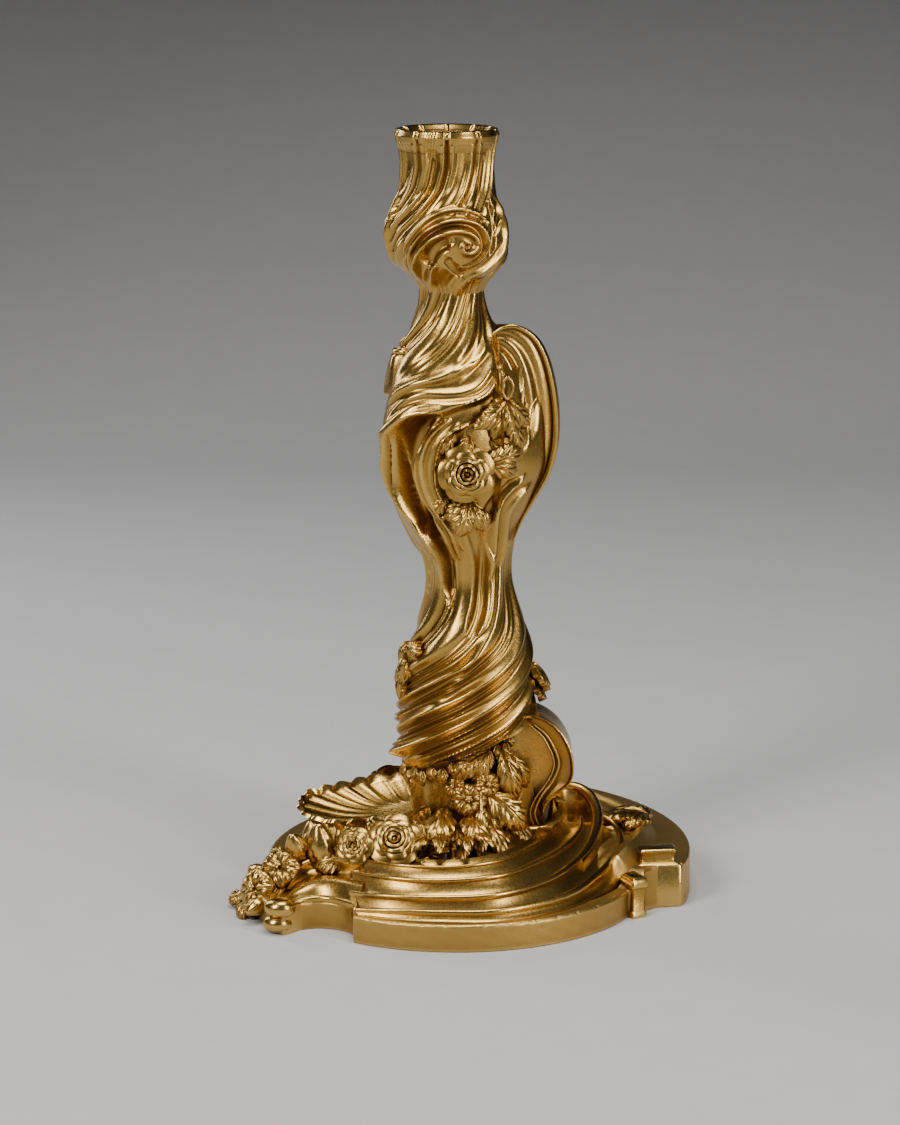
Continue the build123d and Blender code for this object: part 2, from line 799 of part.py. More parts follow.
with BuildPart() as knop_back_leaf:
    applied([leaf(on_stem(52, 189.0), 14.0, 9.0, 3.0)])
    add(knop_back_rose.part, mode=Mode.SUBTRACT)
save(knop_back_leaf.part, "knop_back_leaf")
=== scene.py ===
import math
import random

import bpy
import numpy as np
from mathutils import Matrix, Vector
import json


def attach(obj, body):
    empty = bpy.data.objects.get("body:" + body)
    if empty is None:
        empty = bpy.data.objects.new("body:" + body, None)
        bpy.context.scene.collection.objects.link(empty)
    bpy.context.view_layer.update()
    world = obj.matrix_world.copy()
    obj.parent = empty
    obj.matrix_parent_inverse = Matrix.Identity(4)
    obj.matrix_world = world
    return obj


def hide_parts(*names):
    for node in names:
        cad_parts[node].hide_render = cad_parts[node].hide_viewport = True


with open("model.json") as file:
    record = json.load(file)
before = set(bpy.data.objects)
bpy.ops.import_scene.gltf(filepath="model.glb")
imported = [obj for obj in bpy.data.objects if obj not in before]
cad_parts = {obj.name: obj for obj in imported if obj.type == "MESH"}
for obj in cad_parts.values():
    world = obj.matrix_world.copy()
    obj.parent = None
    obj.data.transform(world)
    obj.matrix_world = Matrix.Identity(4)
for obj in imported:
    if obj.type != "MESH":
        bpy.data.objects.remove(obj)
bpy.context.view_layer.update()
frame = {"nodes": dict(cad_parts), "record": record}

# The object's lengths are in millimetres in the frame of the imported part, and turn to metres in each mesh.
# The studio's lengths are in metres.
MM = 0.001
SOCKET_AXIS = -7.0


# Curves and skins
def curve(points, count):
    """Evenly spaced points along a smooth curve through the given ones."""
    knots = np.array(points, float)
    ends = np.vstack([2 * knots[0] - knots[1], knots, 2 * knots[-1] - knots[-2]])
    t = np.linspace(0, 1, 24, endpoint=False)[:, None]
    runs = []
    for k in range(len(knots) - 1):
        a, b, c, d = ends[k:k + 4]
        runs.append(0.5 * (2 * b + (c - a) * t + (2 * a - 5 * b + 4 * c - d) * t**2
                           + (3 * b - a - 3 * c + d) * t**3))
    line = np.vstack(runs + [knots[-1:]])
    length = np.r_[0, np.cumsum(np.linalg.norm(np.diff(line, axis=0), axis=1))]
    at = np.linspace(0, length[-1], count)
    return np.stack([np.interp(at, length, line[:, k]) for k in range(line.shape[1])], 1)


def unit(vectors):
    v = np.asarray(vectors, float)
    return v / np.maximum(np.linalg.norm(v, axis=-1, keepdims=True), 1e-9)


def smoothstep(low, high, value):
    t = np.clip((value - low) / (high - low), 0, 1)
    return t * t * (3 - 2 * t)


def circle(count):
    """Angles at even steps round a full turn."""
    return np.linspace(0, 2 * math.pi, count, endpoint=False)


def half_turn(angle):
    """The same angle, within half a turn of zero."""
    return (angle + math.pi) % (2 * math.pi) - math.pi


def heading(degrees, lift=0.0):
    """A direction at an angle in plan, with its rise."""
    a = math.radians(degrees)
    return np.array([math.cos(a), math.sin(a), lift])


def placed(ring, origin, axes):
    """A ring of local points, set at a place along three axes."""
    side, along, normal = axes
    return origin + ring[:, :1] * side + ring[:, 1:2] * along + ring[:, 2:] * normal


class Skin:
    """Closed shells gathered for one mesh."""

    def __init__(self):
        self.points, self.faces, self.count = [], [], 0

    def shell(self, rings):
        """Rings of points, each ring closed on itself, with both ends fanned shut."""
        rings = np.asarray(rings, float)
        rows, across = rings.shape[:2]
        j = np.arange(across)
        k = (j + 1) % across
        row = (np.arange(rows - 1) * across)[:, None]
        quads = np.stack([row + j, row + k, row + across + k, row + across + j], -1).reshape(-1, 4)
        first, last = rows * across, rows * across + 1
        top = (rows - 1) * across
        self.points.append(np.vstack([rings.reshape(-1, 3), rings[0].mean(0), rings[-1].mean(0)]))
        self.faces += (quads + self.count).tolist()
        self.faces += (np.stack([np.full(across, first), k, j], 1) + self.count).tolist()
        self.faces += (np.stack([np.full(across, last), top + j, top + k], 1) + self.count).tolist()
        self.count += rows * across + 2

    def band(self, path, width, height, outward, count=0, sink=0.5, rolled=False):
        """A moulded strip along a path: its width and height may change along it."""
        path = curve(path, count) if count else np.asarray(path, float)
        along = unit(np.gradient(path, axis=0))
        s = np.linspace(0, 1, len(path))
        side = unit(np.cross(along, np.asarray(outward, float)))
        up = unit(np.cross(side, along))
        width = np.interp(s, np.linspace(0, 1, len(width)), width)[:, None]
        height = np.interp(s, np.linspace(0, 1, len(height)), height)[:, None]
        a = np.linspace(0, math.pi, 15)
        u, v = np.cos(a), np.sin(a)
        if rolled:
            v = v ** 0.6 * (1 - 0.35 * np.exp(-(u / 0.3) ** 2))
        u = np.r_[u, -0.8, 0.8]
        v = np.r_[v, -sink, -sink]
        across = side[:, None] * (u * width)[..., None]
        above = up[:, None] * (v * height)[..., None]
        self.shell((path[:, None] + across + above)[:, ::-1])

    def mesh(self, name, material, *nodes, body="root", sharp=50.0):
        """Make the object, let it ride on its body and stand for the CAD nodes named."""
        data = bpy.data.meshes.new(name)
        points = np.vstack(self.points) * MM
        points[:, 2] = np.maximum(points[:, 2], 0.0)
        data.from_pydata(points.tolist(), [], self.faces)
        data.validate()
        data.shade_smooth()
        data.set_sharp_from_angle(angle=math.radians(sharp))
        data.materials.append(material)
        piece = bpy.data.objects.new(name, data)
        bpy.context.scene.collection.objects.link(piece)
        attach(piece, body)
        if nodes:
            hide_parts(*nodes)
        return piece


# Materials
def node(tree, kind, **settings):
    made = tree.nodes.new(kind)
    for key, value in settings.items():
        if key.startswith("in_"):
            made.inputs[key[3:].replace("_", " ")].default_value = value
        else:
            setattr(made, key, value)
    return made


def ramp(tree, source, stops):
    made = tree.nodes.new("ShaderNodeValToRGB")
    elements = made.color_ramp.elements
    while len(elements) < len(stops):
        elements.new(0.5)
    for element, (place, colour) in zip(elements, stops):
        element.position = place
        element.color = (*colour, 1)
    tree.links.new(source, made.inputs["Fac"])
    return made.outputs["Color"]


def mix(tree, share, first, second, blend="MIX"):
    made = node(tree, "ShaderNodeMix", data_type="RGBA", blend_type=blend)
    for socket, value in ((0, share), (6, first), (7, second)):
        if isinstance(value, (float, int)):
            made.inputs[socket].default_value = value
        elif isinstance(value, tuple):
            made.inputs[socket].default_value = (*value, 1)
        else:
            tree.links.new(value, made.inputs[socket])
    return made.outputs[2]


def math_node(tree, operation, first, second=0.0, clamp=False):
    made = node(tree, "ShaderNodeMath", operation=operation, use_clamp=clamp)
    for socket, value in ((0, first), (1, second)):
        if isinstance(value, (float, int)):
            made.inputs[socket].default_value = value
        else:
            tree.links.new(value, made.inputs[socket])
    return made.outputs[0]


def metal(name, painted_shade_and_pits, middle, painted_highlight, patina, rough=(0.2, 0.42), grain=0.25, worn=0.35):
    """Gilded or plain metal: painted shade darkens its recesses and a painted highlight lightens its convex
    crests, with a fine chased grain.
    """
    material = bpy.data.materials.new(name)
    material.use_nodes = True
    tree = material.node_tree
    shader = tree.nodes["Principled BSDF"]
    place = node(tree, "ShaderNodeTexCoord").outputs["Object"]

    def noise(scale, detail, roughness=0.55):
        made = node(tree, "ShaderNodeTexNoise", in_Scale=scale, in_Detail=detail,
                    in_Roughness=roughness)
        tree.links.new(place, made.inputs["Vector"])
        return made.outputs["Fac"]

    black, white = (0, 0, 0), (1, 1, 1)
    # painted shade: ambient occlusion darkens the colour in recesses and creases, where shade falls
    near = node(tree, "ShaderNodeAmbientOcclusion", samples=6, in_Distance=0.007)
    open_share = ramp(tree, near.outputs["AO"], [(0.25, black), (0.92, white)])
    point = node(tree, "ShaderNodeNewGeometry").outputs["Pointiness"]
    crest = ramp(tree, point, [(0.485, black), (0.535, white)])
    broad = noise(38.0, 5.0)
    fine = noise(900.0, 6.0, 0.65)
    speck = noise(2600.0, 3.0, 0.7)
    cloud = ramp(tree, broad, [(0.36, black), (0.66, white)])
    colour = mix(tree, open_share, painted_shade_and_pits, middle)
    tarnish = math_node(tree, "MULTIPLY", cloud, worn)
    colour = mix(tree, tarnish, colour, patina)
    # painted highlight: convex crests, found by pointiness, are lightened towards a pale gold
    colour = mix(tree, math_node(tree, "MULTIPLY", crest, 0.6), colour, painted_highlight)
    pits = ramp(tree, speck, [(0.60, black), (0.72, white)])
    # random dark pits, mixed towards the same dark colour as the painted shade
    colour = mix(tree, math_node(tree, "MULTIPLY", pits, 0.22), colour, painted_shade_and_pits)
    tree.links.new(colour, shader.inputs["Base Color"])
    shader.inputs["Metallic"].default_value = 1.0
    shade = math_node(tree, "SUBTRACT", 1.0, open_share)
    roughness = math_node(tree, "MULTIPLY_ADD", fine, rough[1] - rough[0])
    tree.nodes[roughness.node.name].inputs[2].default_value = rough[0]
    roughness = math_node(tree, "ADD", roughness, math_node(tree, "MULTIPLY", shade, 0.18))
    polish = math_node(tree, "MULTIPLY", crest, 0.07)
    roughness = math_node(tree, "SUBTRACT", roughness, polish, clamp=True)
    tree.links.new(roughness, shader.inputs["Roughness"])
    height = math_node(tree, "ADD", fine, math_node(tree, "MULTIPLY", noise(260.0, 4.0), 1.6))
    bump = node(tree, "ShaderNodeBump", in_Strength=grain, in_Distance=0.00022)
    tree.links.new(height, bump.inputs["Height"])
    tree.links.new(bump.outputs["Normal"], shader.inputs["Normal"])
    return material


gilt = metal("gilt_bronze", painted_shade_and_pits=(0.11, 0.036, 0.008), middle=(0.47, 0.272, 0.060),
             painted_highlight=(0.77, 0.52, 0.155), patina=(0.34, 0.20, 0.047), rough=(0.18, 0.38))
gilt_matt = metal("gilt_bronze_matt", painted_shade_and_pits=(0.11, 0.040, 0.009), middle=(0.46, 0.272, 0.063),
                  painted_highlight=(0.73, 0.50, 0.16), patina=(0.36, 0.22, 0.058), rough=(0.34, 0.54), grain=0.5)
liner_brass = metal("liner_brass", painted_shade_and_pits=(0.16, 0.08, 0.03), middle=(0.62, 0.43, 0.19),
                    painted_highlight=(0.85, 0.68, 0.38), patina=(0.40, 0.30, 0.15))
iron = metal("iron_fixings", painted_shade_and_pits=(0.03, 0.025, 0.02), middle=(0.20, 0.18, 0.16),
             painted_highlight=(0.42, 0.40, 0.37), patina=(0.16, 0.09, 0.05), rough=(0.4, 0.7), grain=0.6)


def dress_cad_nodes():
    """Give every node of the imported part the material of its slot."""
    by_slot = {"gilt_bronze": gilt, "liner_brass": liner_brass, "iron_fixings": iron}
    slot_of = {part["node"]: part["material_slot"] for part in frame["record"]["subparts"]}
    for name, piece in frame["nodes"].items():
        piece.data.materials.clear()
        piece.data.materials.append(by_slot[slot_of[name]])


dress_cad_nodes()


# Stem: rows of height, middle's x, radius, relief of the flutes and their turn in degrees
STEM = np.array([
    (44, 1, 25.6, 3.4, -262), (60, 1, 26.4, 3.6, -196), (74, 0.8, 26.8, 3.5, -136), (88, 0.8, 26.0, 3.2, -80),
    (99, 2.2, 24.4, 2.8, -42), (108, 2.8, 22, 2.3, -20), (117, 2.7, 18.4, 2.0, -8), (127, 1.9, 16.2, 1.7, 0),
    (138, 1.2, 17.2, 1.5, 4), (148, -1.4, 22.4, 1.2, 8), (160, -2, 29.2, 0.8, 14), (175, -1.4, 34.6, 0.5, 20),
    (192, -2.2, 35.4, 0.5, 30), (206, -1.6, 33, 0.9, 48), (217, -3, 27.2, 1.6, 76),
    (226, -4.2, 19.8, 2.0, 102),
    (234, -4.9, 14.0, 1.8, 122), (241, -5, 12.0, 1.5, 136), (247, -5.4, 12.2, 1.3, 147),
])
LOBE_ANGLES = (-8, 112, 215)
LOBE_DEPTH = [(44, 0), (138, 0), (148, 0.08), (160, 0.15), (175, 0.19), (206, 0.21), (217, 0.15),
              (226, 0.06), (234, 0)]
FLUTES = 8


def even_rows(table, step, spread):
    """The table's rows at even heights, smoothed so that no kink shows between them."""
    heights = np.arange(table[0, 0], table[-1, 0] + step / 2, step)
    columns = np.stack([np.interp(heights, table[:, 0], column) for column in table.T], 1)
    width = int(3 * spread / step)
    weight = np.exp(-0.5 * (np.arange(-width, width + 1) * step / spread) ** 2)
    weight /= weight.sum()
    before = 2 * columns[:1] - columns[width:0:-1]
    after = 2 * columns[-1:] - columns[-2:-width - 2:-1]
    padded = np.vstack([before, columns, after])
    smooth = np.stack([np.convolve(column, weight, "valid") for column in padded.T], 1)
    smooth[:, 0] = heights
    return smooth


STEM_ROWS = even_rows(STEM, 0.5, 3.6)


def stem_value(column, height):
    return np.interp(height, STEM_ROWS[:, 0], STEM_ROWS[:, column])


def stem_lobes(theta, height):
    """How far a point lies between the knop's three lobes, from 0 to 1."""
    turn = np.interp(height, (138, 148, 175, 206, 226), (1, 2, 4, 9, 19))
    best = np.zeros_like(theta * height)
    for angle in LOBE_ANGLES:
        away = (np.degrees(theta) - angle - turn + 180) % 360 - 180
        best = np.maximum(best, np.exp(-((away / 32.0) ** 2)))
    return 1 - best


def stem_flutes(theta, height):
    """Ribs and hollows that run up the stem and twist with it."""
    phase = (theta - np.radians(stem_value(4, height))) * FLUTES / (2 * math.pi)
    t = phase - np.round(phase)
    rib = np.round(phase) % FLUTES
    width = 0.2 + 0.05 * np.sin(rib * 2.4)
    low = 1 - smoothstep(92, 114, height)
    sharp = np.exp(-np.abs(t / (width * 0.9)) ** 1.8)
    soft = np.exp(-(t / (width * 1.25)) ** 4)
    crest = sharp * low + soft * (1 - low)
    second = (0.42 * low + 0.22 * (1 - low)) * np.exp(-((np.abs(t) - 0.40) / 0.05) ** 2)
    return crest + second - 0.42


def stem_core(theta, height):
    radius = stem_value(2, height)
    depth = np.interp(height, *zip(*LOBE_DEPTH)) * stem_lobes(theta, height)
    return radius * (1 - depth)


# The photograph's viewpoint in the same frame, used by the camera and to lay the relief where it is seen
EYE = np.array([-5.8, -1300.0, 421.0])
PITCH = math.radians(12.46)
FOCAL_PIXELS = 3290.0
PICTURE_WIDTH = 900.0
PICTURE_HEIGHT = 1125.0


def sight(column, row):
    """Direction of the line of sight through a picture point."""
    right = np.array([1.0, 0, 0]) * (column - PICTURE_WIDTH / 2)
    ahead = np.array([0, math.cos(PITCH), -math.sin(PITCH)])
    above = np.array([0, math.sin(PITCH), math.cos(PITCH)]) * (PICTURE_HEIGHT / 2 - row)
    return ahead + right / FOCAL_PIXELS + above / FOCAL_PIXELS


def onto(points, reach, middle):
    """Angle and height where the lines of sight through picture points meet a turned surface."""
    nearest, farthest = 1240, 1360
    found = []
    for column, row in points:
        ray = sight(column, row)
        steps = np.linspace(nearest, farthest, 1200) / ray[1]
        line = EYE + steps[:, None] * ray
        across = line[:, 0] - middle(line[:, 2])
        theta = np.arctan2(line[:, 1], across)
        gap = np.hypot(across, line[:, 1]) - reach(theta, line[:, 2])
        inside = np.nonzero(gap < 0)[0]
        k = inside[0] if len(inside) else int(np.argmin(gap))
        found.append((theta[k], line[k, 2]))
    return np.array(found)


def smoothed(line, radius, count):
    """A line of angles and heights, evened out so that it bends without kinks."""
    line[:, 0] = np.unwrap(line[:, 0])
    line = curve(line * (radius, 1.0), count)
    for _ in range(5):
        line[1:-1] = 0.25 * line[:-2] + 0.5 * line[1:-1] + 0.25 * line[2:]
    return line / (radius, 1.0)


def knop_line(points, count=40):
    line = onto(points, stem_core, lambda z: stem_value(1, z))
    return smoothed(line, 30.0, count)


# Relief: picture points, half width, rise and squareness (2 round, 4 flat) of each rib or hollow.
# First the folds of the upper sleeve, the long edge and the hollow beside it, then the lower folds.
KNOP_RELIEF = [
    ([(489, 340), (474, 360), (461, 368), (439, 378), (420, 381.5), (401, 390), (390, 402)], 2.0, 2.6, 2),
    ([(491, 352), (486, 374), (474, 389), (450, 394), (424, 393), (404, 402), (391, 418), (386, 440)],
     1.7, 1.9, 2),
    ([(494, 362), (492, 384), (479, 398), (450, 402), (420, 404), (398, 417), (386, 436), (383, 456)],
     1.6, 2.2, 2),
    ([(472, 401), (453, 406.5), (436, 411.5), (416, 413), (401, 421), (390, 436), (387, 458), (393, 485),
      (407, 511), (427, 534), (440, 556), (444, 580)], 2.2, 3.8, 2),
    ([(436, 420), (418, 428), (407, 446), (403.5, 470), (410, 496), (423, 517), (434, 533)], 4.4, -8.0, 4),
    ([(414, 503), (428, 523), (441, 545), (448, 570), (450, 604)], 2.3, -3.4, 4),
    ([(393, 434), (390.5, 458), (394, 484), (404, 509), (418, 531), (435, 556)], 0.55, -1.8, 2),
    ([(399, 430), (396, 452), (398, 478), (406, 501), (420, 523), (437, 547)], 0.5, -1.5, 2),
    ([(388, 444), (386.5, 466), (390, 490), (401, 516), (416, 540), (431, 563)], 0.5, -1.4, 2),
    ([(442, 417), (427, 430), (419, 450), (417.5, 470), (422, 493), (431, 513), (446, 534), (453, 559)],
     1.4, 3.6, 2),
    ([(449, 420), (434, 433), (425, 452), (423.5, 470), (428, 492), (437, 511), (452, 533), (459, 558)],
     1.1, 2.8, 2),
    ([(456, 424), (443, 436), (432, 456), (430.5, 478), (437, 500), (450, 522), (462, 548)], 1.5, 1.4, 2),
    ([(470, 424), (452, 432), (441, 447), (437, 470), (439, 491), (448, 507), (449, 513), (443, 518)],
     0.9, 2.6, 2),
    ([(462, 428), (450, 447), (446, 470), (449, 493)], 3.0, -1.8, 4),
    ([(524, 476), (510, 490), (499, 503), (495, 520), (494, 545), (490, 575)], 1.3, 2.2, 2),
    ([(530, 484), (517, 498), (507, 514), (503, 535), (500, 560)], 1.8, 1.8, 2),
    ([(516, 480), (503, 493), (490, 508), (486, 526)], 2.4, -1.6, 4),
]
WING_RELIEF = [
    ([(509, 337), (520, 346), (529, 364), (533, 390), (532, 415), (526, 440)], 4.4, -3.4, 4),
    ([(505, 341), (515, 352), (520, 372), (522, 394)], 0.8, 1.3, 2),
    ([(511, 337), (522, 350), (528, 372), (529, 398), (525, 425)], 0.8, 1.4, 2),
    ([(518, 334), (530, 349), (536, 374), (537, 402), (532, 430), (525, 450)], 0.9, 1.7, 2),
    ([(499, 362), (503, 380), (502, 398), (494, 413)], 1.0, 1.0, 2),
]
WAIST_RELIEF = [
    ([(499, 560), (494, 600), (484, 636), (466, 668), (440, 700), (410, 722)], 2.4, 2.0, 2),
    ([(470, 520), (478, 545), (482, 575), (480, 604), (470, 632)], 3.0, -1.6, 4),
    ([(487, 545), (490, 575), (488, 605), (478, 635)], 1.3, 1.5, 2),
]
# The knop's front repeats on its other two lobes, narrower; turns are in degrees
KNOP_FRONT = -86.5
KNOP_OTHER_LOBES = (50, 149)
KNOP_NARROWING = 0.64


def relief(theta, height, lines, radius):
    """Sum of ribs and hollows laid along lines on a turned surface."""
    total = np.zeros_like(theta)
    for line, half, rise, power in lines:
        reach = half * 2.2
        near = (height > line[:, 1].min() - reach) & (height < line[:, 1].max() + reach)
        if not near.any():
            continue
        t, z, r = theta[near], height[near], radius[near]
        least = np.full(len(t), 1e9)
        share = np.zeros(len(t))
        for k in range(len(line) - 1):
            ax = half_turn(line[k, 0] - t) * r
            ay = line[k, 1] - z
            dx, dy = line[k + 1] - line[k]
            dx = dx * r
            s = np.clip(-(ax * dx + ay * dy) / (dx * dx + dy * dy + 1e-9), 0, 1)
            d = np.hypot(ax + s * dx, ay + s * dy)
            closer = d < least
            least[closer] = d[closer]
            share[closer] = ((k + s) / (len(line) - 1))[closer]
        taper = np.clip(np.minimum(share, 1 - share) * 7 + 0.15, 0, 1) ** 0.7
        total[near] += rise * taper * np.exp(-(least / (half * (0.4 + 0.6 * taper))) ** power)
    return total


def laid(table, line_of):
    """The table's ribs and hollows with their picture points laid on a surface."""
    return [(line_of(points), half, rise, power) for points, half, rise, power in table]


def repeated(lines, front, centre, narrowing, slimmer):
    """Lines about the front angle, laid again about another one, narrower."""
    return [((line - (front, 0)) * (narrowing, 1) + (math.radians(centre), 0), half * slimmer, rise, power)
            for line, half, rise, power in lines]


def build_stem():
    rows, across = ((420, 420))
    knop = laid(KNOP_RELIEF, knop_line)
    lines = knop + laid(WING_RELIEF, knop_line)
    for centre in KNOP_OTHER_LOBES:
        lines += repeated(knop, math.radians(KNOP_FRONT), centre, KNOP_NARROWING, 0.85)
    lines += laid(WAIST_RELIEF, knop_line)
    t, s = np.meshgrid(circle(across), np.linspace(0, 1, rows))
    bottom, top = STEM[0, 0], STEM[-1, 0]
    z = bottom + s * (top - bottom)
    # the lowest rows follow the slope of the joint
    level = 110
    foot = 60.5 + 0.32 * 25 * np.cos(t) + 1.5 * np.sin(t)
    z = np.where(z < level, foot + (z - bottom) / (level - bottom) * (level - foot), z)
    core = stem_core(t, z)
    calm = 1 - smoothstep(142, 156, z) * (1 - smoothstep(206, 222, z))
    r = core + stem_value(3, z) * stem_flutes(t, z) * calm
    r = r + relief(t.ravel(), z.ravel(), lines, core.ravel()).reshape(t.shape)
    # two ribs end in points that stand out on the left: angle, height, reach, spread and tallness
    for angle, height, out, wide, tall in ((186, 56.5, 5.0, 24, 4.5), (184, 69.5, 3.0, 18, 3.0)):
        away = (np.degrees(t) - angle + 180) % 360 - 180
        r = r + out * np.exp(-((away / wide) ** 2) - ((z - height - 0.16 * away) / tall) ** 2)
    # the collar's edge turns in sharply over the neck
    edge = np.clip(s * rows / 7, 0, 1)
    r = r * (0.9 + 0.1 * np.sqrt(edge))
    x = stem_value(1, z) + r * np.cos(t)
    y = r * np.sin(t)
    skin = Skin()
    skin.shell(np.stack([x, y, z], -1))
    return skin


def wing(skin):
    """The knop's standing scroll on the right, with its rolled lip."""
    count = 110
    lip = curve([(7, -7, 220), (10, -8, 227), (15, -8.5, 231), (21, -8, 231), (27.5, -7, 226.5),
                 (32, -6, 218), (34.8, -5, 207), (36.2, -4, 195), (35.9, -4, 183), (33.3, -4, 172),
                 (28, -5, 162), (22.5, -5, 152), (18.5, -6, 142)], count)
    inner = curve([(3, -12, 214), (5, -15, 217), (8, -18, 218), (11, -21, 215), (13, -24, 208),
                   (14.5, -26, 200), (15, -27, 192), (15, -27.5, 184), (14.5, -27, 176), (13.5, -25, 168),
                   (13, -21.5, 160), (13, -18, 152), (14, -13, 142)], count)
    inward = np.array([-0.35, 0.9, 0])
    rings = []
    for k in range(count):
        s = k / (count - 1)
        swell = math.sin(math.pi * min(1, 0.08 + s * 0.95)) ** 0.5
        a, b = inner[k], lip[k]
        ring = []
        for t in np.linspace(0, 1, 44):
            hollow = 5.0 * swell * math.sin(math.pi * t ** 0.8)
            ribs = 0.95 * swell * math.cos(2 * math.pi * 4.5 * t) * (1 - t * t)
            ring.append(a + (b - a) * t + inward * (hollow - ribs))
        roll = 2.4 * swell + 0.4
        for turn in np.linspace(-0.5, 2.2, 9):
            ring.append(b + (math.sin(turn) * roll * 0.7, -0.9 * math.cos(turn) * roll + roll * 0.6, 0))
        ring.append(b + (-1.5, 9 * swell + 2, -0.5))
        ring.append(b + (-6.0, 15 * swell + 3, -1.5))
        ring.append((-2, 6, min(max(b[2], 146), 216)))
        ring.append((-2, -6, min(max(a[2], 146), 214)))
        rings.append(ring)
    skin.shell(np.array(rings)[:, ::-1])
    skin.band(lip[2:-2] + (0.2, -1.4, 0), [0.5, 1.0, 1.2, 1.2, 1.0, 0.4],
              [0.4, 1.0, 1.2, 1.2, 0.9, 0.3], (0.2, -1, 0.2))


def rolled_end(skin):
    """The rolled scroll on the left of the knop, with a coil on its top."""
    x, y, bottom, tall, lean = -26.5, -5, 201.5, 20, 3.2
    a = circle(48)
    rings = []
    for u in np.linspace(0, 1, 46):
        swell = 6.3 * (1 - 0.18 * abs(2 * u - 1) ** 3) * (1 - 0.5 * smoothstep(0.9, 1.0, u))
        swell *= 1 - 0.6 * (1 - smoothstep(0.0, 0.12, u))
        ribbed = swell * (1 - 0.05 * np.cos(5 * a + 3 * u))
        rings.append(np.stack([x + lean * u + ribbed * np.cos(a), y + ribbed * np.sin(a),
                               np.full_like(a, bottom + tall * u)], 1))
    skin.shell(rings)
    turns = np.linspace(0, 2.2 * 2 * math.pi, 60)
    reach = 4.8 - 0.32 * turns
    coil = np.stack([x + lean + reach * np.cos(turns + 2.6), y + reach * np.sin(turns + 2.6),
                     220.8 + 0.12 * turns], 1)
    skin.band(coil, [0.9, 0.7, 0.4], [1.2, 1.0, 0.6], (0, 0, 1))


# Socket: rows of height, middle's x, radius and turn of its lobes in degrees
SOCKET = np.array([
    (244, -5, 11.8, -128), (249, -5, 14.2, -114), (252.5, -5.6, 17.6, -104), (257, -6.2, 21.4, -90),
    (265, -6.6, 23.6, -64), (271.5, -7, 23.1, -44), (278, -7.4, 20.8, -25), (286, -7, 18.6, -8),
    (295, -7, 18.4, 0), (301, -7, 19.1, 0), (304, -7, 20.0, 0), (306.5, -7, 20.6, 0), (308, -7, 20.0, 0),
])
SOCKET_ROWS = even_rows(SOCKET, 0.25, 1.8)


def socket_value(column, height):
    """A value of the socket's rows, smoothed below its rim only."""
    smooth = np.interp(height, SOCKET_ROWS[:, 0], SOCKET_ROWS[:, column])
    crisp = np.interp(height, SOCKET[:, 0], SOCKET[:, column])
    return np.where(height > 300, crisp, smooth)


def socket_line(points, count=40):
    line = onto(points, lambda t, z: socket_value(2, z) * 0.99, lambda z: socket_value(1, z))
    return smoothed(line, 20.0, count)


SOCKET_RELIEF = [
    ([(423, 282), (417, 269), (420, 254), (430, 241), (444, 233), (459, 230), (471, 233), (477.5, 241),
      (476, 250), (469, 255), (461.5, 252.5), (459.5, 246.5), (464, 243)], 1.2, 2.7, 2),
    ([(409, 264), (414, 247), (426, 231), (443, 221.5), (460, 219), (476, 222.5), (485.5, 233), (487, 246),
      (482, 257), (472, 265), (459, 268)], 1.0, 1.9, 2),
    ([(404, 253), (413, 235), (430, 217), (451, 209), (473, 211), (488, 222)], 0.85, 1.4, 2),
    ([(413, 257), (421, 240), (440, 227.5), (459, 224.5), (474, 228.5), (482, 240), (481, 251)],
     1.0, -0.9, 4),
    ([(429, 266), (431, 254), (440, 245.5), (450, 242)], 2.7, -2.8, 4),
    ([(465, 245), (466, 247)], 1.2, 1.8, 2),
    ([(436, 262), (433, 272), (433, 283)], 1.1, 1.4, 2),
    ([(446, 258), (452, 266), (463, 275)], 1.8, -1.5, 4),
    ([(491.6, 194), (497.5, 209), (502, 232), (499, 253), (488, 268), (472, 276), (460, 285), (457, 297)],
     1.9, 2.4, 2),
    ([(488, 200), (492, 222), (492.5, 240), (488, 256)], 1.5, -1.3, 4),
]
SCROLL_EYE = [(450, 246), (452, 247)]
# The scroll of the front repeats twice round the socket, narrower; turns are in degrees
SOCKET_FRONT = math.radians(262)
SOCKET_OTHER_SCROLLS = (34, 141)
SOCKET_NARROWING = 0.69
SOCKET_LOBES = 10


def scroll_clearing(t, z):
    """Share of the lobes that is left round each scroll, where they fade out."""
    eye = socket_line(SCROLL_EYE, 3)[1]
    others = [(math.radians(centre), SOCKET_NARROWING) for centre in SOCKET_OTHER_SCROLLS]
    keep = 1.0
    for centre, narrow in [(eye[0], 1.0), *others]:
        away = half_turn(t - centre) * 23 / narrow
        far = np.hypot(away / 20.5, (z - eye[1]) / 15.5)
        keep = keep * (1 - np.exp(-far ** 5))
    return keep


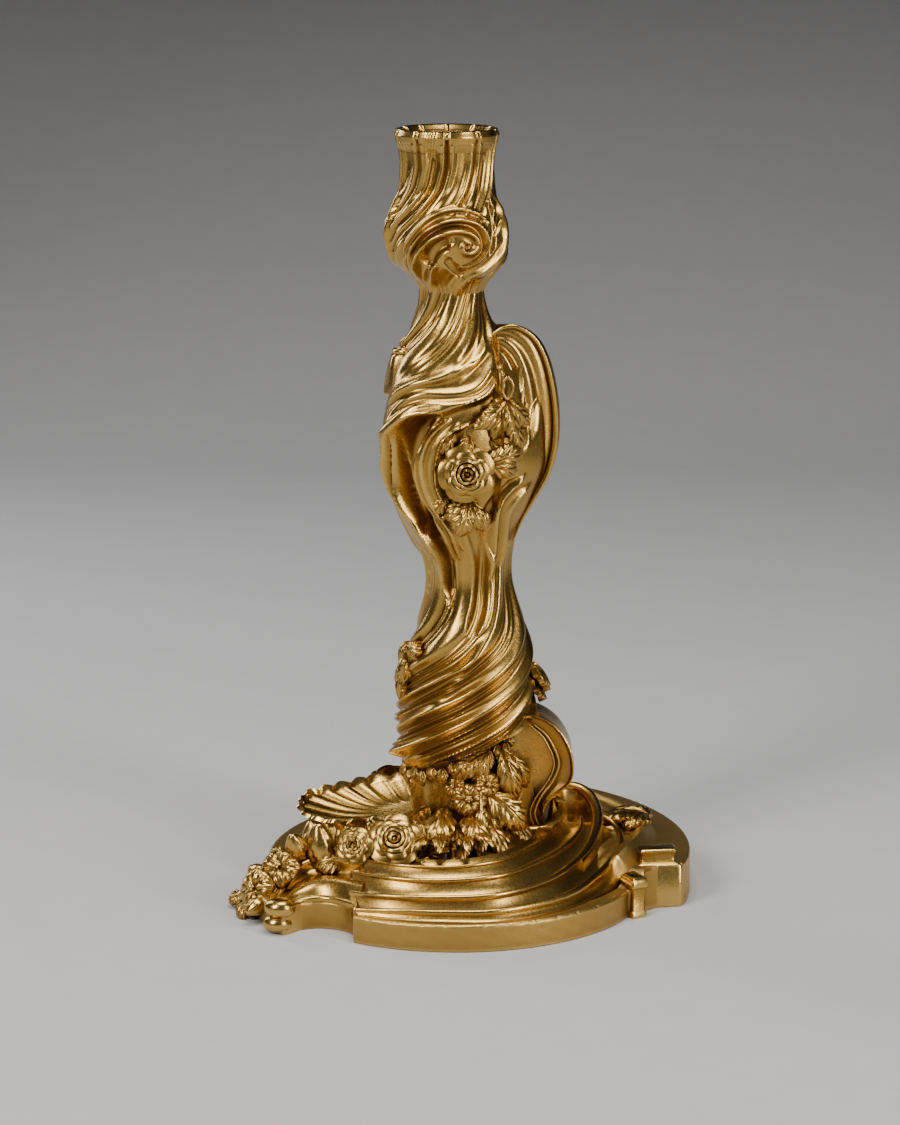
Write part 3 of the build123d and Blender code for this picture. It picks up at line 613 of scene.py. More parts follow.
def socket_wall(t, z):
    """The socket's outer radius: lobes with sunk panels, scrolls, and a lobed rim."""
    radius = socket_value(2, z)
    phase = (t - np.radians(socket_value(3, z))) * SOCKET_LOBES / (2 * math.pi)
    u = phase - np.round(phase)
    lobe = np.round(phase) % SOCKET_LOBES
    body = smoothstep(247, 254, z)
    upper = smoothstep(276, 290, z)
    # a narrow fillet between two lobes, and within each lobe a raised frame round a sunk panel
    valley = np.exp(-((np.abs(u) - 0.5) / 0.055) ** 2)
    frame_rib = np.exp(-((np.abs(u) - 0.34) / 0.075) ** 4)
    panel = np.exp(-(u / 0.2) ** 6)
    arch = smoothstep(303.0, 300.0, z + 8 * u * u)
    odd = lobe % 2
    sunk = panel * arch * (0.8 + 0.4 * odd) * (0.25 + 0.75 * upper)
    r = radius + body * (-1.1 * valley + 0.5 * frame_rib - sunk)
    r += body * (1 - upper) * (1.7 * np.exp(-((u + 0.1) / 0.17) ** 2) - 0.5)
    niche = smoothstep(299.5, 297.5, z + 14 * np.abs(u)) * smoothstep(262, 284, z)
    r -= niche * np.exp(-(u / 0.085) ** 4) * odd
    rim = smoothstep(303.2, 304.2, z)
    r = r * (1 - rim) + rim * (radius - 1.5 * valley + 0.25)
    neck_ribs = (1 - body) * stem_flutes(t, np.full_like(z, 244.0)) * 1.4
    front = laid(SOCKET_RELIEF, socket_line)
    for line, *_ in front:
        line[:, 0] = SOCKET_FRONT + half_turn(line[:, 0] - SOCKET_FRONT)
    lines = list(front)
    for centre in SOCKET_OTHER_SCROLLS:
        lines += repeated(front, SOCKET_FRONT, centre, SOCKET_NARROWING, 0.9)
    marks = relief(t.ravel(), z.ravel(), lines, radius.ravel()).reshape(t.shape)
    keep = (1 - 0.8 * np.clip(np.abs(marks) * 1.2, 0, 1)) * scroll_clearing(t, z)
    r = radius + (r - radius) * keep + neck_ribs + marks
    # a fine matting on one panel
    stipple = 0.16 * np.sin(t * 61 + z * 3.1) * np.sin(z * 4.3 - t * 37)
    return r + stipple * panel * (lobe == 7) * upper


def build_socket():
    rows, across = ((240, 560))
    theta = circle(across)
    t, z = np.meshgrid(theta, np.linspace(244, 308, rows))
    r = socket_wall(t, z)
    outer = np.stack([socket_value(1, z) + r * np.cos(t), r * np.sin(t), z], -1)
    # over the rim and down into the bore
    rings = [outer]
    for inner, height in ((0.2, 308.6), (1.4, 308.9), (2.6, 308.4), (3.4, 307.2)):
        edge = outer[-1].copy()
        away = edge[:, :2] - (SOCKET_AXIS, 0)
        size = np.linalg.norm(away, axis=1, keepdims=True)
        edge[:, :2] = (SOCKET_AXIS, 0) + away / size * (size - inner)
        edge[:, 2] = height
        rings.append(edge[None])
    for hole, height in ((14.75, 306.4), (14.7, 305.5), (12.4, 305.4), (12.3, 304), (12.3, 258.2)):
        rings.append(np.stack([SOCKET_AXIS + hole * np.cos(theta), hole * np.sin(theta),
                               np.full(across, height)], 1)[None])
    skin = Skin()
    skin.shell(np.vstack(rings))
    spacing = 360 // SOCKET_LOBES
    for place in range(SOCKET_LOBES):
        out = heading(spacing * place + spacing // 2)
        knot(skin, out * 19.6 + (SOCKET_AXIS, 0, 307.0), 1.5, out)
    return skin


def knot(skin, middle, size, outward):
    """A small rounded bead, flattened along its outward side."""
    outward = unit(outward)
    a = circle(14)
    rings = []
    for b in np.linspace(0.08, math.pi - 0.08, 9):
        p = np.stack([np.sin(b) * np.cos(a), np.sin(b) * np.sin(a), np.full_like(a, np.cos(b))], 1) * size
        p -= outward * (p @ outward)[:, None] * 0.3
        rings.append(p + middle)
    skin.shell(rings[::-1])


# Flowers and leaves
def basis(normal, up):
    """Three square axes: to the side, as near to up as may be, and along the normal."""
    normal = unit(normal)
    side = unit(np.cross(up, normal))
    return side, unit(np.cross(normal, side)), normal


def leaf(skin, root, tip, outward, length, width, lobes=5, arch=0.25, curl=0.15, thick=0.9, twist=0.0):
    """A serrated leaf with raised midrib and veins, arched along its length and cupped across."""
    root = np.asarray(root, float)
    axes = basis(outward, tip)
    v = np.linspace(-1, 1, 25)
    rings = []
    for s in np.linspace(0.0, 1.0, 46):
        saw = (lobes * s) % 1.0
        notch = 0.86 + 0.24 * saw ** 0.6 * (1 - saw ** 6)
        wide = width / 2 * (math.sin(math.pi * min(1, s ** 0.8 * 0.99 + 0.01)) ** 0.75) * notch + 0.35
        y = length * (s + 0.10 * np.abs(v) * math.sin(math.pi * s))
        x = wide * v
        vein = np.cos(2 * math.pi * (lobes * s - 1.3 * np.abs(v)))
        z = length * arch * 0.8 * math.sin(math.pi * s * 0.9) - length * curl * 0.6 * s ** 3
        z = z - 0.16 * width * v ** 2 * (1 if s > 0.1 else s * 10) + 0.35 * vein * np.abs(v) ** 0.7
        midrib = 0.7 * np.exp(-(v / 0.12) ** 2)
        groove = 0.5 * np.exp(-((np.abs(v) - 0.22) / 0.1) ** 2)
        z = z + midrib * (1 - s) - groove * (1 - s)
        x = x + twist * length * s ** 2
        top = np.stack([x, y, z], 1)
        low = np.stack([x[::-1] * 0.97, y[::-1], z[::-1] - thick], 1)
        rings.append(placed(np.vstack([top, low]), root, axes))
    skin.shell(np.array(rings)[:, ::-1])


def petal(skin, root, axes, turn, span, inner, outer, low, high, open_share, rng, thick=0.45):
    """One cupped petal that stands round a flower's axis and rolls over at its lip."""
    v = np.linspace(-1, 1, 15)
    wobble = rng.uniform(-0.05, 0.05)
    rings = []
    for b in np.linspace(0, 1, 15):
        spread = span * (0.45 + 0.75 * math.sin(math.pi * (0.12 + 0.62 * b)) - 0.22)
        a = turn + spread * v
        reach = inner + (outer - inner) * (b ** 0.8) * (1 - 0.10 * (1 - v ** 2) * (1 - open_share))
        lip = 0.13 * outer * max(0, b - 0.72) / 0.28
        reach = reach + lip * open_share - 0.08 * outer * v ** 4
        z = low + (high - low) * (math.sin(math.pi / 2 * min(1, b * 1.12)) - 0.12 * b * v ** 2 + wobble)
        z = z - 0.35 * (high - low) * open_share * max(0, b - 0.6) ** 1.2 / 0.4
        z = z - 0.14 * (high - low) * np.abs(v) ** 3 * b
        back = np.stack([reach * np.cos(a), reach * np.sin(a), z], 1)
        reach = reach - thick
        front = np.stack([reach * np.cos(a), reach * np.sin(a), z + 0.25 * thick], 1)
        rings.append(placed(np.vstack([back, front[::-1]]), root, axes))
    skin.shell(rings)


def flower_axes(outward):
    """A flower's axes, with its top upward unless it faces up itself."""
    return basis(outward, (0, 0, 1) if abs(unit(outward)[2]) < 0.9 else (0, 1, 0))


# Rings of a rose: petals, share of the radius, low and high share of the depth, and how far they open
ROSE_RINGS = ((5, 1.0, 0.0, 0.58, 1.0), (5, 0.82, 0.1, 0.78, 0.6), (4, 0.62, 0.2, 0.92, 0.35),
              (3, 0.42, 0.3, 1.0, 0.2), (2, 0.24, 0.4, 1.06, 0.0))


def rose(skin, middle, outward, radius, depth, seed):
    """A full rose: rings of petals that close towards the heart, over a domed bed."""
    rng = random.Random(seed)
    axes = flower_axes(outward)
    middle = np.array(middle, float)
    a = circle(36)
    dome = []
    for b in np.linspace(0, 1, 9):
        r = radius * 0.86 * math.cos(b * 1.5)
        z = -0.25 * depth + depth * 0.75 * math.sin(b * 1.5)
        dome.append(placed(np.stack([r * np.cos(a), r * np.sin(a), np.full_like(a, z)], 1), middle, axes))
    skin.shell(dome)
    start = rng.uniform(0, 6)
    for count, share, low, high, opened in ROSE_RINGS:
        for k in range(count):
            turn = start + 2 * math.pi * k / count + rng.uniform(-0.08, 0.08)
            span = 3.7 / count * (1 + rng.uniform(-0.06, 0.1))
            top = depth * high * (1 + rng.uniform(-0.04, 0.04))
            petal(skin, middle, axes, turn, span, radius * share * 0.45, radius * share, depth * low, top,
                  opened, rng)
        start += math.pi / count + 0.3
    knot(skin, middle + axes[2] * depth * 0.74, radius * 0.08, axes[2])


def blossom(skin, middle, outward, radius, seed, petals=5):
    """An open flower with broad notched petals and a beaded heart."""
    side, up, normal = flower_axes(outward)
    middle = np.array(middle, float)
    start = random.Random(seed).uniform(0, 6)
    for k in range(petals):
        turn = start + 2 * math.pi * k / petals
        tip = side * math.cos(turn) + up * math.sin(turn)
        leaf(skin, middle + normal * 0.3, tip, normal + 0.15 * tip, radius * 1.05, radius * 1.15, 1, 0.3,
             0.12, 0.8)
    beads = 5
    for k in range(beads):
        turn = start + k * 2 * math.pi / beads
        aside = (side * math.cos(turn) + up * math.sin(turn)) * radius * 0.13
        knot(skin, middle + normal * (0.27 * radius) + aside, radius * 0.08, normal)
    knot(skin, middle + normal * (0.32 * radius), radius * 0.11, normal)


def bud(skin, foot, tip, radius, seed, folds=4):
    """A closed bud of overlapping folded petals."""
    foot, tip = np.array(foot, float), np.array(tip, float)
    length = np.linalg.norm(tip - foot)
    axes = basis(tip - foot, (0, 1, 0.1))
    a = circle(48)
    rings = []
    for s in np.linspace(0, 1, 34):
        r = radius * (math.sin(math.pi * min(1, 0.10 + 0.88 * s ** 0.85)) ** 0.7)
        fold = (folds * (a / (2 * math.pi)) + 0.55 * s + 0.1 * seed) % 1.0
        r = r * (1 - 0.13 * fold ** 4 - 0.05 * np.cos(9 * a) * (1 - s)) + 0.12
        ring = np.stack([r * np.cos(a), r * np.sin(a), np.full_like(a, length * s)], 1)
        rings.append(placed(ring, foot, axes))
    skin.shell(rings)


def on_stem(theta, height, lift):
    """Point above the stem's surface, and the outward direction there."""
    r = stem_core(np.array([theta]), np.array([float(height)]))[0] + lift
    out = np.array([math.cos(theta), math.sin(theta), 0.0])
    return np.array([stem_value(1, height), 0, height]) + out * r, out


def on_knop(picture_point, lift=0.0):
    """Point above the knop's surface where the picture shows it, and the outward direction there."""
    (theta, height), = onto([picture_point], stem_core, lambda z: stem_value(1, z))
    return on_stem(theta, height, lift)


# Base: outlines by angle, so that rings of different outlines join point to point
def arc(first, middle, last, steps=60):
    """Points on the arc through three points."""
    (ax, ay), (bx, by), (cx, cy) = first, middle, last
    a, b, c = ax**2 + ay**2, bx**2 + by**2, cx**2 + cy**2
    d = 2 * (ax * (by - cy) + bx * (cy - ay) + cx * (ay - by))
    ux = (a * (by - cy) + b * (cy - ay) + c * (ay - by)) / d
    uy = (a * (cx - bx) + b * (ax - cx) + c * (bx - ax)) / d
    start, mid, end = (math.atan2(y - uy, x - ux) for x, y in (first, middle, last))
    turn = (end - start) % (2 * math.pi)
    if (mid - start) % (2 * math.pi) > turn:
        turn -= 2 * math.pi
    radius = math.hypot(ax - ux, ay - uy)
    angles = start + np.linspace(0, turn, steps)
    return [(ux + radius * math.cos(angle), uy + radius * math.sin(angle)) for angle in angles]


PLINTH_PLAN = (arc((-43.4, -81.3), (5.8, -92.4), (65.1, -50.4)) + [(71.0, -49.7), (72.3, -43.5)]
               + arc((72.3, -43.5), (77.5, -38.1), (88.1, -34.7), 20) + arc((89.5, -31), (91.5, 8), (40, 84))
               + arc((40, 84), (18, 91.6), (-8, 92.3)) + arc((-10.5, 87), (-17, 84.5), (-27, 84), 16)
               + arc((-27, 84), (-66, 50), (-80.5, -4)) + arc((-80.5, -4), (-81.5, -20), (-81, -36), 16)
               + arc((-81, -36), (-81.5, -54), (-71, -73), 24)
               + arc((-65, -66.5), (-56, -64.2), (-43.9, -72.9), 30))
MOULD_PLAN = (arc((-56, -55), (5, -84), (62, -46)) + arc((62, -46), (80, 5), (55, 58))
              + arc((55, 58), (8, 82), (-44, 62)) + arc((-44, 62), (-71, 8), (-56, -55)))


def by_angle(outline, angles):
    """Distance of an outline from the middle at each angle."""
    p = np.array(outline, float)
    p = np.vstack([p, p[:1]])
    dense = np.vstack([np.linspace(a, b, 12, endpoint=False) for a, b in zip(p, p[1:])])
    a = np.arctan2(dense[:, 1], dense[:, 0]) % (2 * math.pi)
    order = np.argsort(a)
    return np.interp(angles, a[order], np.hypot(dense[:, 0], dense[:, 1])[order], period=2 * math.pi)


# Corners of the plinth, which the rings of the base have to meet
PLINTH_CORNERS = ((-43.4, -81.3), (65.1, -50.4), (71, -49.7), (72.3, -43.5), (88.1, -34.7), (89.5, -31),
                  (40, 84), (-8, 92.3), (-10.5, 87), (-27, 84), (-80.5, -4), (-81, -36), (-65, -66.5),
                  (-43.9, -72.9))
LEDGE_HEIGHT = 11.0
LOBE_RISE = 6.6
FLOOR_HEIGHT = 25.0
# Moulded steps from the ledge up to the floor: the way in from the edge, and the rise
STEPS = ((0.3, 1.6), (0.9, 3.0), (1.9, 3.9), (3.1, 3.7), (4.0, 2.6), (5.2, 2.0), (6.8, 2.2), (8.2, 3.2),
         (9.2, 4.8), (9.9, 6.6), (10.7, 7.7), (11.7, 8.1), (12.7, 7.6), (13.6, 6.9), (14.8, 6.9), (15.8, 7.8),
         (16.5, 9.3), (17.3, 10.5), (18.4, 10.9), (19.6, 10.6), (20.6, 10.0), (22.0, 10.2), (23.2, 11.4),
         (24.2, 12.9), (25.3, 13.7), (26.6, 13.6), (28.0, 13.1), (31.0, 12.9), (38.0, 12.8))


def build_base():
    count = 900
    corners = [math.atan2(y, x) % (2 * math.pi) for x, y in PLINTH_CORNERS]
    angles = np.unique(np.r_[circle(count), corners])
    plinth = by_angle(PLINTH_PLAN, angles)
    mould = by_angle(MOULD_PLAN, angles)
    degrees = np.degrees(angles)
    # share of the right and back lobe, where the plinth's wall stands higher
    lobe = np.where((degrees > 100) & (degrees < 318), 0.0, 1.0)
    lobe = lobe * smoothstep(322, 330, np.where(degrees < 100, degrees + 360, degrees))
    wall = LEDGE_HEIGHT + LOBE_RISE * lobe

    def ring(distance, height):
        height = np.broadcast_to(height, angles.shape)
        return np.stack([distance * np.cos(angles), distance * np.sin(angles), height], 1)

    # from the hollow underside out to the foot
    rings = [ring(np.minimum(mould - 30, plinth - 8), 19.5), ring(np.minimum(mould - 12, plinth - 5), 12.0)]
    rings += [ring(plinth - inset, height) for inset, height in (
        (4.2, 7.0), (4.0, 6.0), (4.0, 0.5), (3.6, 0.0), (0.5, 0.0), (0, 0.4))]
    # up the wall, which is a little uneven, to its worn edge
    for share in np.linspace(0.1, 0.92, 12):
        uneven = 0.05 * np.sin(angles * 63 + share * 5) * np.sin(angles * 17 - share * 8)
        rings.append(ring(plinth + uneven, wall * share))
    dent = 0.22 * np.clip(np.sin(angles * 151) * np.sin(angles * 67) * np.sin(angles * 29) * 3 - 0.5, 0, 1)
    rings += [ring(plinth - 0.1 - dent, wall - 0.6), ring(plinth - 0.5 - dent, wall - 0.15 - dent),
              ring(plinth - 1.1, wall + 0.05)]
    # ledge and steps, which lie lower where the scrolls of the front cover them
    inner = np.minimum(mould, plinth - 1.6)
    rings += [ring(np.maximum(inner + 0.5, plinth - 2.2), wall + 0.1), ring(inner, wall + 0.1)]
    under_front = smoothstep(243, 249, degrees) * (1 - smoothstep(322, 338, degrees))
    for inset, rise in STEPS:
        # on the lobe the steps are flatter: a low bead, then a sunk floor
        bead = 5.6 * smoothstep(0, 6, inset) - 2.2 * smoothstep(8, 13, inset) + 0.5 * math.sin(inset * 1.1)
        height = (LEDGE_HEIGHT + rise) * (1 - lobe) + (LEDGE_HEIGHT + LOBE_RISE + bead) * lobe
        rings.append(ring(inner - inset, height - 4.5 * under_front * min(1, inset)))
    rings.append(ring(np.full_like(angles, 30.0), FLOOR_HEIGHT - 1.0))
    skin = Skin()
    skin.shell(rings)
    return skin


# Ridges of the front, from left to right: path, half widths, heights and how deep they sink
OUTER_RIDGE = ([(-42, -79.5, 13.0), (-28, -84, 14), (-9.7, -86.3, 14), (14, -85, 14.2), (39.3, -69.5, 15),
                (53, -48, 16.5), (61, -28, 18.5), (64, -15.6, 21), (62, -6, 24.5), (57, -2.5, 27.5),
                (52, -5, 28)],
               [0.7, 1.12, 1.19, 1.33, 1.54, 1.68, 1.4, 0.7],
               [0.8, 1.28, 1.28, 1.44, 1.92, 2.24, 1.76, 0.64], 4.9)
VOLUTE_RIDGE = ([(-45, -70, 17.0), (-30, -78, 18), (-9.7, -80.5, 18), (13, -77.7, 18.4),
                 (32.3, -63.3, 19.5), (45, -43, 21.5), (52, -25, 25), (54.5, -10, 30), (52, 1, 34.8),
                 (46.5, 5.5, 37.6), (40.5, 5, 38), (37, 0.8, 36.8), (38, -3.6, 35), (41.5, -4.2, 34)],
                [0.63, 1.05, 1.05, 1.19, 1.68, 2.1, 2.38, 1.12],
                [0.72, 1.12, 1.12, 1.28, 1.76, 2.24, 2.24, 0.96], 3.5)
THIRD_RIDGE = ([(-45, -58, 21.4), (-28, -68.5, 22.2), (-9.7, -71.8, 22.2), (13.8, -66.5, 22.6),
                (29.9, -51, 23.6), (41, -34, 25.2), (47, -19, 27), (48, -7, 29)],
               [0.56, 0.91, 0.98, 0.98, 1.05, 0.7], [0.64, 0.96, 0.96, 1.04, 1.12, 0.64], 2.8)
INNER_RIDGE = ([(-40, -52, 24.4), (-24, -61, 25), (-6, -63, 25), (12, -57, 25.3), (24, -45, 26),
                (33, -31, 27), (37, -19, 28)],
               [0.42, 0.7, 0.7, 0.7, 0.49], [0.48, 0.72, 0.72, 0.8, 0.48], 1.75)
FRONT_EDGE = [(-43, -80.6, 11.2), (-28, -86.8, 11.3), (-9.7, -90.2, 11.4), (14, -89.8, 11.4),
              (39.3, -74.5, 11.6), (55, -55, 12), (64, -40, 15), (69.5, -24, 19), (70.5, -8, 21.5)]
FLOOR_EDGE = [(-36, -44, 24.8), (-20, -52, 25), (-4, -53, 25), (11, -47, 25.2), (20, -38, 25.6),
              (27, -27, 26), (30, -16, 27)]


def front_scrolls(skin):
    """Ridges of the front that converge on the right, and the hollows between them."""
    for path, width, height, sink in (OUTER_RIDGE, VOLUTE_RIDGE, THIRD_RIDGE, INNER_RIDGE):
        skin.band(path, width, height, (-0.05, -0.35, 1), 200, sink)
    rails = [FRONT_EDGE, OUTER_RIDGE[0][:9], VOLUTE_RIDGE[0][:8], THIRD_RIDGE[0],
             INNER_RIDGE[0] + [(40, -12, 29)], FLOOR_EDGE]
    rails = [curve(rail, 170) for rail in rails]
    sheet = []
    for k in range(170):
        ring = []
        for first, second in zip(rails, rails[1:]):
            a, b = first[k], second[k]
            span = np.linalg.norm(b - a)
            for t in np.linspace(0, 1, 12, endpoint=False):
                sag = min(0.30 * span, 3.4) * math.sin(math.pi * t) ** 0.85
                ring.append(a + (b - a) * t - (0, 0, sag))
        ring.append(rails[-1][k])
        ring.append(rails[-1][k] - (0, 0, 10))
        ring.append(rails[2][k] * (1, 1, 0) + (0, 0, 9.0))
        ring.append(rails[0][k] - (0, 0, 3.0))
        sheet.append(ring)
    skin.shell(sheet)


def volute(skin):
    """The wall under the ridge that climbs into the volute, and the volute's sunk floor."""
    path = curve([(45, -43, 21.5), (52, -25, 25.2), (54.5, -10, 30.2), (52, 1, 35), (46.5, 5.5, 37.8),
                  (40.5, 5, 38.2), (37, 0.8, 37), (38, -3.6, 35.2)], 120)
    along = unit(np.gradient(path[:, :2], axis=0))
    side = np.stack([along[:, 1], -along[:, 0]], 1)
    rings = []
    for k in range(len(path)):
        x, y, z = path[k]
        half = (4.6 - 2.0 * k / (len(path) - 1)) * 0.5
        outline = [(0.9, -0.2), (1.15, 0.8), (1.2, 2.4), (1.3, 5.0), (1.8, 9.0), (2.6, 14), (2.6, z - 15),
                   (-1.6, z - 15), (-1.6, 9.0), (-1.5, 5.0), (-1.25, 2.2), (-0.9, 0.4), (0, -0.6)]
        rings.append([(x + side[k, 0] * out * half, y + side[k, 1] * out * half, max(z - down, 14.0))
                      for out, down in outline])
    skin.shell(rings)
    a = circle(40)
    middle_x, middle_y = 45.5, -3
    skin.shell([np.stack([middle_x + r * np.cos(a), middle_y + r * np.sin(a), np.full_like(a, z)], 1)
                for r, z in ((9.5, 20), (9.4, 27.5), (8.2, 27.0), (6.0, 26.2), (3.0, 25.8), (0.5, 25.8))])


def left_scroll(skin):
    """C-scroll round the left recess, with the double knob at its foot."""
    outer = [(-36, -52, 23.6), (-45, -49.5, 23.6), (-52, -45.8, 23.2), (-60, -42, 22), (-67, -42.5, 19),
             (-72, -47, 14.5), (-74.5, -54, 11), (-76, -61, 10)]
    skin.band(outer, [1.6, 2.7, 3.0, 3.0, 2.7, 1.8], [1.0, 1.7, 2.0, 2.0, 1.7, 1.0], (0.2, -0.3, 1), 110,
              2.4, rolled=True)
    low = [(-42.5, -72.5, 12.8), (-50, -65.8, 12.5), (-57, -63.2, 12.3), (-64, -64.6, 12),
           (-69.5, -68.5, 11.5)]
    skin.band(low, [1.0, 1.2, 1.2, 0.9], [0.9, 1.1, 1.1, 0.8], (0.1, -0.6, 1), 80, 2.0)
    cove = []
    for a, b in zip(curve(outer, 50), curve(low, 50)):
        ring = []
        for t in np.linspace(0, 1, 31):
            p = a * (1 - t) + b * t
            if t < 0.42:
                swell = -3.6 * math.sin(math.pi * t / 0.42)
            else:
                swell = 2.6 * math.sin(math.pi * min(1, (t - 0.42) / 0.52))
            ring.append(p + np.array([0.1, -0.45, 1.0]) * swell)
        ring += [(b[0], b[1], 6.0), (a[0], a[1], 6.0)]
        cove.append(ring)
    skin.shell(cove)
    a = circle(40)
    for x, y, z, r in ((-72.5, -68.5, 10.3, 5.0), (-73.5, -68.5, 3.9, 4.6)):
        rings = []
        for b in np.linspace(0.1, math.pi - 0.1, 18):
            swell = r * math.sin(b) ** 0.75
            rings.append(np.stack([x + 1.25 * swell * np.cos(a), y + 1.1 * swell * np.sin(a),
                                   z + 0 * a - 0.78 * r * math.cos(b)], 1))
        skin.shell(rings)


def right_notch(skin):
    """Pilaster block and the larger block with an ogee top beside it."""
    def block(x, y, half_x, half_y, turn, rows):
        """A squarish block whose outline grows or shrinks at the heights given."""
        c, s = np.cos(circle(48)), np.sin(circle(48))
        box_x = np.sign(c) * np.abs(c) ** 0.16
        box_y = np.sign(s) * np.abs(s) ** 0.16
        rings = []
        for z, grow in rows:
            px, py = box_x * (half_x + grow), box_y * (half_y + grow)
            rings.append(np.stack([x + px * math.cos(turn) - py * math.sin(turn),
                                   y + px * math.sin(turn) + py * math.cos(turn), np.full_like(c, z)], 1))
        skin.shell(rings)

    block(67.5, -47.0, 2.8, 4.2, 0.5, [(0, 0.6), (2.5, 0.6), (3.0, 0.1), (12.0, 0.0), (12.6, 0.8),
                                       (15.6, 0.8), (16.2, 0.3), (17, -0.6)])
    block(77.5, -32.0, 9.5, 6.0, 0.15, [(0.2, 0.0), (16.8, 0.0), (17.6, -0.5), (18.2, -2.0), (19.2, -2.8),
                                        (20.8, -3.0), (22.2, -2.2), (23.0, -1.8), (23.6, -2.2), (23.8, -3)])


def shell_bowl(skin):
    """The fan-ribbed shell on the left of the neck, with its scalloped rim."""
    rim = [(-18, -17.4, 31.2), (-25.4, -15.5, 31), (-34.9, -15.2, 30.2), (-48.9, -17.5, 29.2),
           (-58.5, -13, 29.2), (-64.5, -5, 29.4), (-66, 4, 30.4), (-63.9, 13, 32), (-57.2, 17.6, 33.2),
           (-49.1, 19.5, 34.4), (-39.2, 21.8, 36), (-27.9, 20, 37.6), (-17, 18, 38.5), (-8, 16, 39)]
    s = np.linspace(0, 1, 260)
    heart = np.array([-13.0, 0.0, 36.0])
    away = curve(rim, 260) - heart
    upward = np.array([0, 0, 1.0])
    ribs = 17
    wave = np.abs(np.sin(math.pi * ribs * (s + 0.012 * np.sin(11 * s))))[:, None] ** 1.1
    rings = []
    for share in np.linspace(0.04, 1.0, 40):
        dip = 7.0 * math.sin(math.pi * min(1, share * 0.92)) ** 1.2
        rise = (1.15 * wave - 0.4) * share ** 0.6
        rings.append(heart + away * share + upward * (rise - dip))
    scallop = heart + away * (1 + 0.04 * wave) + upward * (1.3 * wave)
    rings.append(scallop + upward * 0.6)
    rings.append(scallop + unit(away * (1, 1, 0)) * 1.2 - upward * 0.6)
    # the back of the shell, down into the floor
    rings.append(heart + away * 0.97 - upward * 2.6)
    rings.append(heart + away * 0.94 - upward * 6.0)
    low = heart + away * 0.90
    low[:, 2] = 20.0
    rings.append(low)
    skin.shell(rings)


def cartouche(skin):
    """The standing S-shaped sheet, its rolled edge and the double line cut in its face."""
    edge = [(15, 20), (15, 44), (17, 62), (21, 71), (26, 73.2), (32, 72.0), (38.6, 67), (43.2, 59),
            (44.6, 51), (43.4, 45), (38.5, 40.2), (33.4, 35.5), (32.2, 29), (34.5, 20)]
    middle = np.array([27.0, 44.0])
    away = curve(edge, 150) - middle
    size = np.linalg.norm(away, axis=1, keepdims=True)
    rings = []

    def ring(p, y):
        rings.append(np.stack([p[:, 0], y - 0.05 * (p[:, 0] - middle[0]), p[:, 1]], 1))

    for share in np.linspace(0.25, 0.93, 9):
        ring(middle + away * share, -9.8 + 3.0 * math.cos(share * 1.6))
    for y, inset in ((-11.4, 1.6), (-12.6, 0.5), (-12.4, 0.0), (-10, -0.2), (-4, 0.3), (3, 0.3),
                     (8, -0.1), (10, 0.3), (10.6, 1.4), (9.6, 2.6)):
        ring(middle + away / size * (size - inset), y)
    skin.shell(rings)
    s_line = np.array([(28.5, -10.0, 68.5), (34, -10.4, 63.5), (38.0, -10.6, 55.5), (38.2, -10.6, 50),
                       (35.0, -10.6, 43.5), (30.8, -10.6, 37.5), (28.9, -10.6, 31), (31.4, -10.6, 24)])
    for shift, width in ((0.0, 0.7), (2.0, 0.55)):
        skin.band(s_line - (shift, 0, 0), [0.3, width, width, width, 0.3], [0.5, 1.0, 1.0, 1.0, 0.5],
                  (0, -1, 0), 90, 1.2)
    foot = [(18, -11, 27), (24, -13.5, 25.6), (31, -13.5, 25.4), (36, -10, 26.5), (39.5, -5, 29),
            (40, 0, 32)]
    skin.band(foot, [1.0, 1.8, 2.0, 1.8, 1.0], [0.8, 1.4, 1.6, 1.5, 0.8], (0, -0.6, 1), 60, 2.0)


def neck(skin):
    """The plain hollow-sided neck and the beaded fringe under the collar."""
    a = circle(96)
    rings = []
    for z in np.linspace(19, 62, 36):
        r = 18.4 + 3.5 * max(0, (33 - z) / 13) ** 2 + 4.2 * smoothstep(48, 62, z)
        slope = 0.30 * smoothstep(36, 56, z)
        rings.append(np.stack([-3.5 + r * np.cos(a), r * np.sin(a), z + slope * r * np.cos(a)], 1))
    skin.shell(rings)
    tassels = 30
    r = 22.6
    for k, t in enumerate(circle(tassels)):
        out = np.array([math.cos(t), math.sin(t), 0.0])
        drop, length = (4.3, 6.5) if k % 2 else (3.2, 5.2)
        z = 58.0 + 0.32 * r * math.cos(t) + 1.5 * math.sin(t) - drop
        place = out * r + (-1.8, 0, z)
        leaf(skin, place + (0, 0, 3.5), 0.1 * out - (0, 0, 1), out + (0, 0, 0.2), length, 4.4, 2, 0.25, 0.2,
             0.9)
        knot(skin, place + (0, 0, 1.0), 1.25, out)


def castings():
    """The stem, the socket and the base with its scrolls, shell and neck."""
    stem = build_stem()
    wing(stem)
    rolled_end(stem)
    stem.mesh("stem", gilt, "stem_casting")
    build_socket().mesh("socket", gilt, "candle_socket")
    build_base().mesh("base_plinth", gilt_matt, "base_casting", sharp=35.0)
    for name, makers in (("base_scrolls", (front_scrolls, volute, left_scroll, right_notch)),
                         ("base_shell", (shell_bowl,)), ("base_neck", (cartouche, neck))):
        skin = Skin()
        for make in makers:
            make(skin)
        skin.mesh(name, gilt)


# Ornaments of the base
def single_rose(name, replaced, middle, outward, radius, depth, seed):
    bloom = Skin()
    rose(bloom, middle, outward, radius, depth, seed)
    bloom.mesh(name, gilt, replaced)


